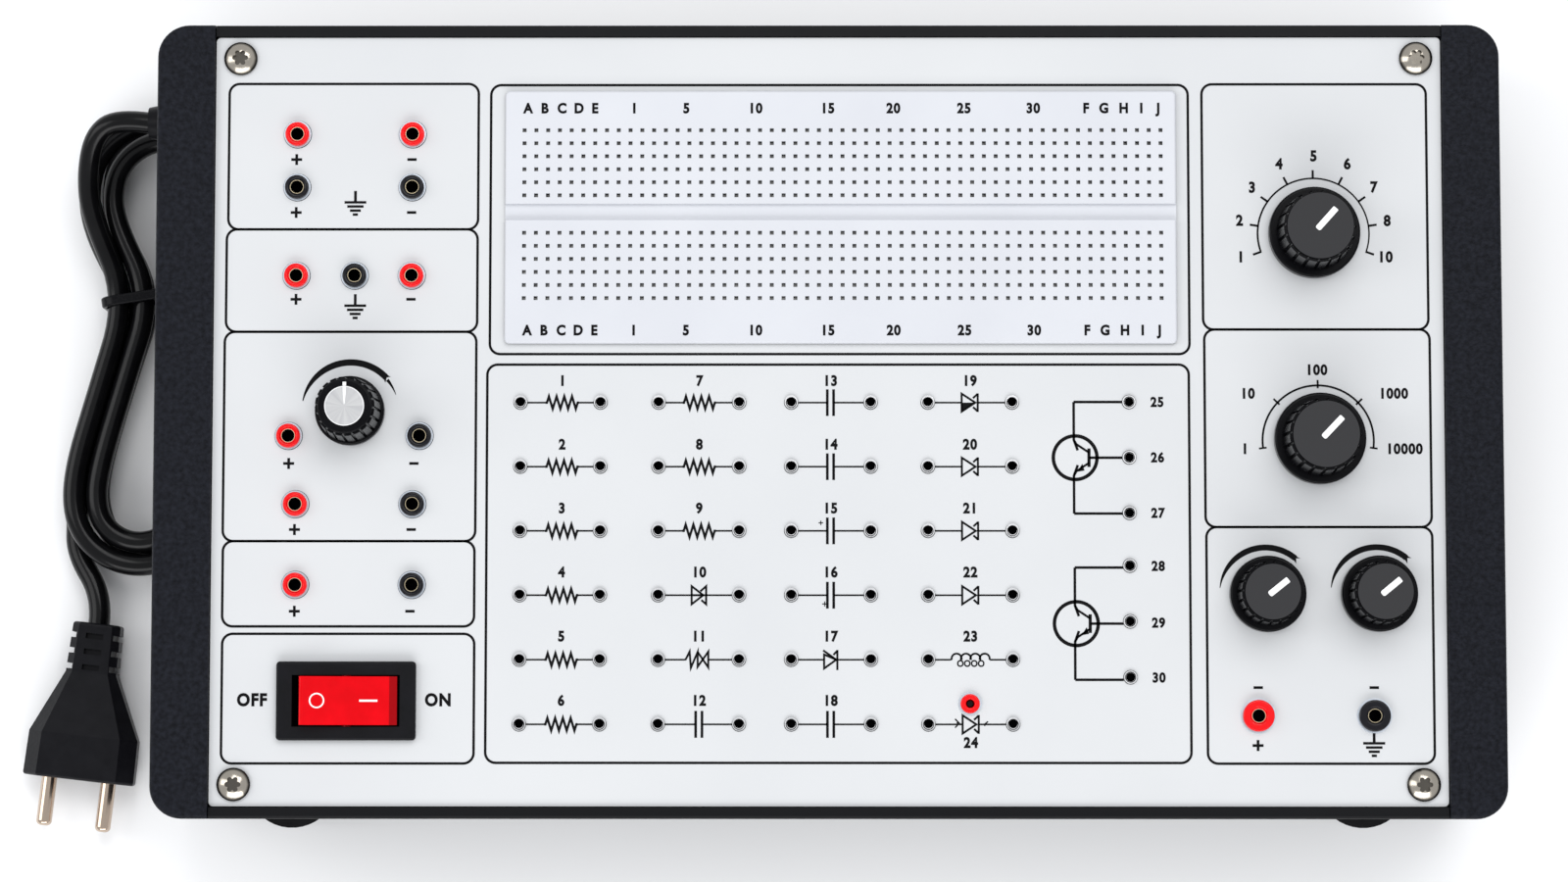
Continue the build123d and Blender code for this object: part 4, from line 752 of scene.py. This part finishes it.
for name, centre in (("amplitude", AMPLITUDE), ("frequency", FREQUENCY)):
    middle = (centre[0] - 0.4, centre[1] + 0.25)
    shapes = arrow(middle, 14.3, -83, 40, (0.2, 1.85), 2.1, 4.5)
    inked(on_panel(name + "_arrow", shapes), black_ink)

middle = (SUPPLY[0], SUPPLY[1] + 0.1)
stroke, head = arrow(middle, 15.2, -78, 46, (0.3, 2.0), 2.5, 3.2)
tail = ribbon(arc(middle, 15.0, 49.5, 70, 12), np.linspace(1.05, 0.15, 12))
inked(on_panel("supply_arrow", [stroke, tail, head]), black_ink)

# %% [markdown]
# Each small component has a pair of tip sockets, with its circuit symbol drawn between them.
# A symbol is a path or two in millimetres from its own middle, and thin leads run from it to the
# sockets. So each symbol's function gives back its shapes, and how far they reach to the left
# and to the right of the middle, where the leads begin.

# %% Strokes and the simplest symbols
def strokes(paths, x, y, width):
    """Paths drawn round a middle, each as a ribbon of the same width."""
    return [ribbon(np.array(path, float) + [x, y], width) for path in paths]


def resistor(x, y):
    """A zigzag of four peaks and four valleys, 1.2 millimetres from each peak to the next valley."""
    peak = 1.95
    zigzag = [(-5.2, 0), (-4.8, 0), (-4.2, peak), (-3.0, -peak), (-1.8, peak), (-0.6, -peak),
              (0.6, peak), (1.8, -peak), (3.0, peak), (4.2, -peak), (4.8, 0), (5.2, 0)]
    return strokes([zigzag], x, y, 0.74), 5.1, 5.1


def capacitor(x, y):
    """Two upright bars, one at the same distance on each side of the middle."""
    half = 0.98
    bars = [[(side, -4.15), (side, 4.15)] for side in (-half, half)]
    return strokes(bars, x, y, 0.82), half, half


def coil(x, y):
    """Four arcs in a row whose feet overlap, and four small closed loops under them."""
    humps = [arc((-4.35 + 2.9 * k, 0.35), 1.55, -95, 95, 15) for k in range(4)]
    path = np.vstack([[(-6.2, 0)], *humps, [(6.0, 0)]])
    shapes = strokes([path], x, y, 0.6)
    for left in (-4.0, -1.85, 0.3, 2.45):
        loop = rounded_box(left, -0.3, left + 1.6, -2.0, 0.75)
        shapes.append(ribbon(loop + [x, y], 0.46, closed=True))
    return shapes, 6.2, 6.0


print("a coil has", len(coil(0, 0)[0]), "strokes")

# %% [markdown]
# The diodes are variations of one symbol, a triangle that points at a bar: with one half inked,
# with two hooks, as a zigzag, with a slanted side, and with darts of light.

# %% Symbols of the diodes
DIODE_LINE = 0.64


def diode(x, y):
    """A triangle and a bar at its tip. The bar's ends have short barbs that lean back."""
    return strokes([
        [(-2.55, 0), (-2.55, -2.8), (1.7, 0), (-2.55, 2.8), (-2.55, 0)],
        [(2.45, -2.9), (2.45, 2.9)],
        [(2.45, 2.75), (1.0, 1.4)], [(2.45, -2.75), (1.0, -1.4)],
    ], x, y, DIODE_LINE), 2.55, 2.45


def half_inked_diode(x, y):
    """The diode, with the lower half of its triangle as a plate."""
    shapes, left, right = diode(x, y)
    lower_half = plate(np.array([(-2.5, -2.6), (1.5, 0), (-2.5, 0)]) + [x, y])
    return shapes + [lower_half], left, right


def hooked_diode(x, y):
    """A triangle with a line through it, and a bar whose ends turn back as hooks."""
    return strokes([
        [(-2.3, 0), (-2.3, -2.8), (1.3, 0), (-2.3, 2.8), (-2.3, 0)],
        [(2.2, 0), (2.2, -2.8), (0.7, -1.5)], [(2.2, 0), (2.2, 2.8), (0.4, 1.2)],
        [(-2.3, 0), (2.2, 0)],
    ], x, y, DIODE_LINE), 2.3, 2.2


def zigzag_diode(x, y):
    """One line that goes up and down between two triangles."""
    return strokes([
        [(-4.2, -0.1), (-2.9, 2.5), (-2.5, -2.5), (-0.4, 2.4), (-0.4, -2.2), (2.9, 2.5),
         (2.9, -2.4), (-0.4, 2.4)],
    ], x, y, DIODE_LINE), 4.2, 2.9


def slanted_diode(x, y):
    """A triangle under a slanted line, and a bar with one barb."""
    return strokes([
        [(-2.0, 0), (-2.0, -2.7), (1.75, 0), (-2.0, 1.6), (-2.0, 0)],
        [(-2.3, 2.9), (1.75, 0)], [(2.1, -3.2), (2.1, 3.0)], [(2.1, 2.8), (0.9, 1.5)],
    ], x, y, DIODE_LINE), 2.0, 2.1


def light_diode(x, y):
    """The diode, with short darts of light on both sides of it."""
    shapes, left, right = diode(x, y)
    darts = [
        [(-4.9, 1.7), (-3.7, 0.5), (-4.4, 0.5)], [(-4.9, -1.0), (-3.7, 0.2)],
        [(5.3, 0.9), (4.3, 0.1), (4.3, -0.5)],
    ]
    return shapes + strokes(darts, x, y, 0.42), left, right


print("a diode has", len(diode(0, 0)[0]), "strokes")

# %% [markdown]
# The components stand in four columns of six. A column has its two rows of sockets, the middle
# of its symbols and the list of them from the top. Two capacitors have a small plus.

# %% Symbols of the components
LEAD_LINE, LEAD_START = 0.52, 2.05
FIRST_ROW, ROW_PITCH = 5.2, 20.0
sockets = {1: (-95.8, -70.9), 2: (-52.8, -27.7), 3: (-11.5, 13.2), 4: (31.0, 57.2)}
middles = {1: -82.8, 2: -40.1, 3: 0.7, 4: 44.1}
columns = {
    1: [resistor] * 6,
    2: [resistor] * 3 + [hooked_diode, zigzag_diode, capacitor],
    3: [capacitor] * 4 + [slanted_diode, capacitor],
    4: [half_inked_diode] + [diode] * 3 + [coil, light_diode],
}
shapes = []
for column, symbols in columns.items():
    x, (first, last) = middles[column], sockets[column]
    for row, symbol in enumerate(symbols):
        y = FIRST_ROW - ROW_PITCH * row
        drawn, left, right = symbol(x, y)
        leads = [[(first + LEAD_START, y), (x - left, y)], [(x + right, y), (last - LEAD_START, y)]]
        shapes += drawn + strokes(leads, 0, 0, LEAD_LINE)
for x, y, half in ((-2.3, -32.3, 0.7), (-1.1, -57.5, 0.8)):
    shapes += strokes([[(-half, 0), (half, 0)], [(0, -half), (0, half)]], x, y, 0.3)
inked(on_panel("component_symbols", shapes), black_ink)

# %% [markdown]
# The numbers over the symbols count the components down each column, and go on at the six
# sockets of the transistors. The last number of the fourth column stands under its symbol.

# %% Numbers over the symbols
shapes = []
for column, symbols in columns.items():
    for row in range(len(symbols)):
        count = len(symbols) * (column - 1) + row + 1
        y = -100.3 if count == 24 else 12.2 - 19.9 * row
        shapes.append(lettering(str(count), middles[column], y, 3.2))
for count, y in zip(range(25, 31), (5.5, -11.8, -29.1, -45.6, -63.2, -80.2)):
    shapes.append(lettering(str(count), 102.4, y, 3.0))
inked(on_panel("component_numbers", shapes), black_ink)

# %% [markdown]
# The two transistors are drawn as a ring with a base bar, two slanted legs and leads that turn
# to three sockets. Their arrow tips are small plates.

# %% Symbols of the transistors
LEAD_END = 91.5


def transistor(x, y, arrow_out):
    """Leads above and below that are mirror images, a lead across, the bar, the legs and a tip."""
    end = LEAD_END - x
    shapes = [ribbon(arc((x, y), 6.8, 0, 360, 49)[:-1], 1.1, closed=True)]
    shapes += strokes([
        [(-0.4, 17.4), (-0.4, 5.6), (0.8, 2.3)], [(-0.4, -17.4), (-0.4, -5.6), (0.8, -2.3)],
        [(-0.4, 17.4), (end, 17.4)], [(-0.4, -17.4), (end, -17.4)], [(4.3, 0), (end, 0)],
    ], x, y, 0.8)
    shapes += strokes([[(4.3, -2.9), (4.3, 2.9)]], x, y, 1.0)
    shapes += strokes([
        [(4.3, 1.6), (0.4, 4.2), (-0.4, 5.6)], [(4.3, -1.6), (0.4, -4.2), (-0.4, -5.6)],
    ], x, y, 0.7)
    tip = np.array([(0.6, -4.4), (2.9, -4.0), (2.2, -1.9)]) + [x, y]
    shapes.append(plate(tip if arrow_out else tip + [1.0, 0.8]))
    return shapes


shapes = transistor(76.8, -12.0, True) + transistor(76.9, -63.6, False)
inked(on_panel("transistor_symbols", shapes), black_ink)

# %% [markdown]
# The sockets carry only signs: plus, minus, and the ground sign with its four bars, each a
# little shorter than the one above it.

# %% Signs at the sockets
SIGN_LINE = 0.84
plus_places = [
    (-166.3, 64.9), (-166.1, 37.6), (-167.9, -13.8), (-165.9, -34.4), (-165.7, -59.8),
    (132.9, -101.3), (-166.3, 81.6),
]
minus_places = [
    (-130.2, 64.9), (-130.2, 37.6), (-128.9, -13.8), (-129.6, -34.4), (-129.8, -59.8),
    (133.1, -83.4), (169.0, -83.4), (-130.2, 81.6),
]
ground_places = [(-147.8, 68.1), (-147.6, 35.6), (168.8, -100.6)]


def plus(x, y):
    """One bar across, and two short ones that meet it from above and below without an overlap."""
    half, edge = 1.7, SIGN_LINE / 2
    bars = [[(-half, 0), (half, 0)], [(0, -half), (0, -edge)], [(0, edge), (0, half)]]
    return strokes(bars, x, y, SIGN_LINE)


def minus(x, y):
    """One bar, 2.9 millimetres long."""
    return strokes([[(-1.45, 0), (1.45, 0)]], x, y, SIGN_LINE)


def ground(x, y):
    """A stem, and four bars under it that are given by half their length and their height."""
    shapes = strokes([[(0, 3.6), (0, 0.35)]], x, y, 0.86)
    for half, height in ((3.4, 0.0), (2.55, -1.3), (1.7, -2.6), (0.8, -3.85)):
        shapes += strokes([[(-half, height), (half, height)]], x, y, 0.78)
    return shapes


shapes = []
for sign, places in ((plus, plus_places), (minus, minus_places), (ground, ground_places)):
    for x, y in places:
        shapes += sign(x, y)
inked(on_panel("socket_signs", shapes), black_ink)

# %% [markdown]
# The power switch has its two words, one on each side. ON is on the right, where the rocker is
# pressed down.

# %% Words beside the rocker
shapes = [lettering("OFF", -178.6, -87.1, 3.85), lettering("ON", -120.9, -87.1, 3.85)]
inked(on_panel("switch_words", shapes), black_ink)

# %% [markdown]
# The plug-in board counts its rows of holes with letters and its columns with numbers, printed
# in two lines on its own top, which is two millimetres higher than the panel.

# %% Index of the plug-in board
BOARD_TOP = 0.076
index = [
    ("A", -93.8), ("B", -88.6), ("C", -83.2), ("D", -77.9), ("E", -72.9),
    ("F", 80.6), ("G", 86.2), ("H", 92.4), ("I", 97.9), ("J", 103.2),
    ("1", -60.6), ("5", -44.3), ("10", -22.7), ("15", -0.1), ("20", 20.4), ("25", 42.5), ("30", 64.1),
]
shapes = [lettering(text, x, y, 3.15) for text, x in index for y in (97.6, 27.8)]
inked(on_panel("board_index", shapes, top=BOARD_TOP), black_ink)

# %% [markdown]
# A knob's pointer is a white bar let into a slot in its flat top. The bar is a little narrower
# than the slot, so a thin dark line stays round it. Its inner end is rounder than its outer one.
# The slot starts past the middle and reaches 0.72 of the way to the edge of the top, and the bar
# ends a tenth of a millimetre before it. It rides on the dial, so it turns with the knob.

# %% Pointers of the skirted knobs
def pointer_bar(centre, degrees, inner, outer, width):
    """A bar along +y with rounded corners, turned clockwise to its clock angle."""
    half = width / 2
    soft, crisp = 0.62 * half, 0.3 * half
    outline = np.vstack([
        arc((half - crisp, outer - crisp), crisp, 90, 0, 5),
        arc((crisp - half, outer - crisp), crisp, 0, -90, 5),
        arc((soft - half, inner + soft), soft, -90, -180, 5),
        arc((half - soft, inner + soft), soft, 180, 90, 5),
    ])
    sine, cosine = math.sin(math.radians(degrees)), math.cos(math.radians(degrees))
    return outline @ np.array([[cosine, -sine], [sine, cosine]]) + centre


SLOT_DEPTH, SLOT_REACH = 0.5, 0.72
BAR_WIDTH, BAR_START, BAR_GAP = 1.9, -1.5, 0.1
pointers = {
    "selector": (SELECTOR, 42.0, LARGE_KNOB, 10.2),
    "multiplier": (MULTIPLIER, 43.6, LARGE_KNOB, 10.2),
    "amplitude": (AMPLITUDE, 51.5, SMALL_KNOB, 8.5),
    "frequency": (FREQUENCY, 50.7, SMALL_KNOB, 8.5),
}
for name, (centre, degrees, height, top_radius) in pointers.items():
    outer = SLOT_REACH * top_radius - BAR_GAP
    outline = pointer_bar(centre, degrees, BAR_START, outer, BAR_WIDTH)
    bar = plate(outline, base=KNOB_BASE + height - SLOT_DEPTH, height=SLOT_DEPTH / 1000.0)
    inked(on_panel(name + "_pointer", [bar], name + "_dial", 0.0), white_ink)

# %% [markdown]
# The supply knob's cap stands a little proud of its rim. It has a printed needle, and a fine white
# line along its edge is a painted highlight of the cap's rim. A white tooth on the rim outside
# carries the needle on.

# %% Pointer of the supply knob
SUPPLY_HEIGHT, CAP_PROUD = 18.0, 0.3
rim_top = KNOB_BASE + SUPPLY_HEIGHT
cap_top = rim_top + CAP_PROUD
needle_corners = np.array([
    (-0.1, 0.5), (0.1, 0.5), (0.42, 3.4), (0.52, 5.8), (-0.52, 5.8), (-0.42, 3.4),
])
tooth_corners = np.array([(-0.54, 6.2), (0.54, 6.2), (0.54, 7.4), (-0.54, 7.4)])
needle = plate(needle_corners + SUPPLY, cap_top, 0.00005)
tooth = plate(tooth_corners + SUPPLY, rim_top - 0.8, 0.00115)
# A painted highlight: the white ring along the cap's edge.
edge = ribbon(arc(SUPPLY, 6.0, 0, 360, 49)[:-1], 0.24, cap_top, 0.00004, closed=True)
marks = on_panel("supply_pointer", [needle, tooth, edge], "supply_dial", 0.0)
inked(marks, white_ink)

# %% [markdown]
# Inside each socket's collar a lip of its own colour hides the outer half of the brass contact,
# so that the contact shows as a thin bright line round the hole. The lips lie on the contacts'
# flat tops. On the panel a fine dark line round each washer is its painted shadow.

# %% Lips of the plug sockets and painted shadows round their washers
LIP_RADIUS, LIP_WIDTH, LIP_BASE = 2.29, 0.3, 1.605
WASHER_RADIUS, HAIRLINE = 4.33, 0.14
red_places = [
    (-166.0, 89.5), (-130.0, 89.5), (-166.0, 45.0), (-130.0, 45.0), (-168.0, -5.2), (-165.7, -26.5),
    (-165.5, -51.6), (133.1, -92.1),
]
black_places = [
    (-166.0, 72.8), (-130.0, 72.8), (-147.8, 45.0), (-127.2, -5.2), (-129.3, -26.5),
    (-129.3, -51.6), (169.0, -92.1),
]


def rings(places, radius, width, base=0.0, steps=49):
    """Closed ribbons of one size, a circle of points round each place."""
    circles = [arc(place, radius, 0, 360, steps)[:-1] for place in places]
    return [ribbon(circle, width, base, closed=True) for circle in circles]


for name, places, finish in (("red", red_places, gloss_red), ("black", black_places, gloss_black)):
    lips = rings(places, LIP_RADIUS, LIP_WIDTH, LIP_BASE, 33)
    inked(on_panel(name + "_socket_lips", lips), finish)
# Painted shadow: a fine dark ring round each washer on the panel.
painted_washer_shadows = rings(red_places + black_places, WASHER_RADIUS, HAIRLINE)
inked(on_panel("washer_painted_shadows", painted_washer_shadows), black_ink)

# %% [markdown]
# Each tip socket's countersink round its hole is painted dark as shade, and a fine line of painted
# shadow goes round its rim on the panel. The components' sockets stand in their four columns, and
# the transistors' are in two threes.

# %% Painted shade at the rims of the tip sockets
RIM_RADIUS, RIM_WIDTH, RIM_TOP, TIP_EDGE = 1.58, 0.26, 0.605, 2.18
PIN_X, PIN_PITCH = 93.6, 17.3
tip_places = [
    (x, FIRST_ROW - ROW_PITCH * row) for pair in sockets.values() for x in pair for row in range(6)
]
tip_places += [(PIN_X, first - PIN_PITCH * pin) for first in (5.4, -45.6) for pin in range(3)]
# Painted shade in the countersinks, and a painted shadow line round each rim on the panel.
tip_shade_rings = rings(tip_places, RIM_RADIUS, RIM_WIDTH, RIM_TOP, 25)
tip_shade_rings += rings(tip_places, TIP_EDGE, HAIRLINE, steps=25)
inked(on_panel("tip_painted_shades", tip_shade_rings), black_ink)

# %% [markdown]
# The rocker's face is a shallow trough that leans eight degrees to the right. Its two marks lie
# on that face: flat shapes are drawn first, and each of their points is then lifted onto the
# trough, whose height over the pivot is the lowest height plus x squared over twice its radius.
# The film starts a little under the face, so that no gap shows below it. A Shrinkwrap modifier
# could lay the marks down too, but the trough's formula is plain, and so the marks follow it.

# %% Marks on the rocker
ROCKER = np.array([-149.3, -87.6, 73.0])
LOWEST, TROUGH_RADIUS = 5.7, 128.8
FILM_BASE, FILM = -0.03, 0.00008
lean = math.radians(8.0)
along = np.array([math.cos(lean), 0.0, -math.sin(lean)])
upward = np.array([math.sin(lean), 0.0, math.cos(lean)])


def on_rocker(points):
    """The pivot, plus x along the lean, y across it, and the trough's height upward."""
    x, y, z = points[:, :1], points[:, 1:2], points[:, 2:]
    height = LOWEST + x ** 2 / (2 * TROUGH_RADIUS) + z
    return ROCKER + x * along + y * [0.0, 1.0, 0.0] + height * upward


ring = ribbon(arc((-9.5, 0.0), 2.15, 0, 360, 49)[:-1], 0.46, FILM_BASE, FILM, closed=True)
bar = ribbon([(x, 0.0) for x in np.linspace(3.6, 9.2, 9)], 0.66, FILM_BASE, FILM)
shapes = [(on_rocker(points), faces) for points, faces in (ring, bar)]
inked(on_panel("rocker_marks", shapes, "power_rocker", 0.0), white_ink)

# %% [markdown]
# The trainer stands on a plain pale floor, which is a stage and no piece of the trainer.

# %% Floor
floor_mesh = bpy.data.meshes.new("floor")
floor_mesh.from_pydata([(-6, -6, 0), (6, -6, 0), (6, 6, 0), (-6, 6, 0)], [], [(0, 1, 2, 3)])
floor = bpy.data.objects.new("floor", floor_mesh)
bpy.context.scene.collection.objects.link(floor)
paper = new_material("floor_paper", Roughness=0.9)
vary(paper, add_noise(paper, 4.0), "Base Color", (0.94, 0.94, 0.945), (0.96, 0.96, 0.965))
floor.data.materials.append(paper)
print("floor under the feet at", floor.location.z)

# %% [markdown]
# A wide soft light from behind gives the knobs their soft shadows towards the front. A weaker
# one stands on the left, a low broad one in front lights the front rail and shows in the gloss
# of the lead and the rocker, and an even sky fills the rest.

# %% Lights and sky
def soft_box(name, place, aim, size, power):
    """A rectangle of light whose own -Z axis is turned along the aim minus the place."""
    light = bpy.data.lights.new(name, "AREA")
    light.shape = "RECTANGLE"
    light.size, light.size_y = size
    light.energy = power
    holder = bpy.data.objects.new(name, light)
    bpy.context.scene.collection.objects.link(holder)
    holder.location = place
    holder.rotation_euler = (Vector(aim) - Vector(place)).to_track_quat("-Z", "Y").to_euler()


soft_box("rear_soft_box", (0.35, 1.0, 1.9), (0.0, 0.0, 0.05), (1.8, 1.2), 19.0)
soft_box("left_soft_box", (-1.6, 0.2, 1.2), (0.0, 0.0, 0.05), (0.8, 1.4), 8.0)
soft_box("front_soft_box", (0.0, -1.5, 1.0), (0.0, -0.5, 0.0), (2.4, 0.8), 20.0)
sky = bpy.data.worlds.new("studio_sky")
sky.use_nodes = True
sky.node_tree.nodes["Background"].inputs["Color"].default_value = (0.95, 0.97, 1.0, 1.0)
sky.node_tree.nodes["Background"].inputs["Strength"].default_value = 0.72
bpy.context.scene.world = sky
bpy.context.scene.view_settings.view_transform = "Standard"
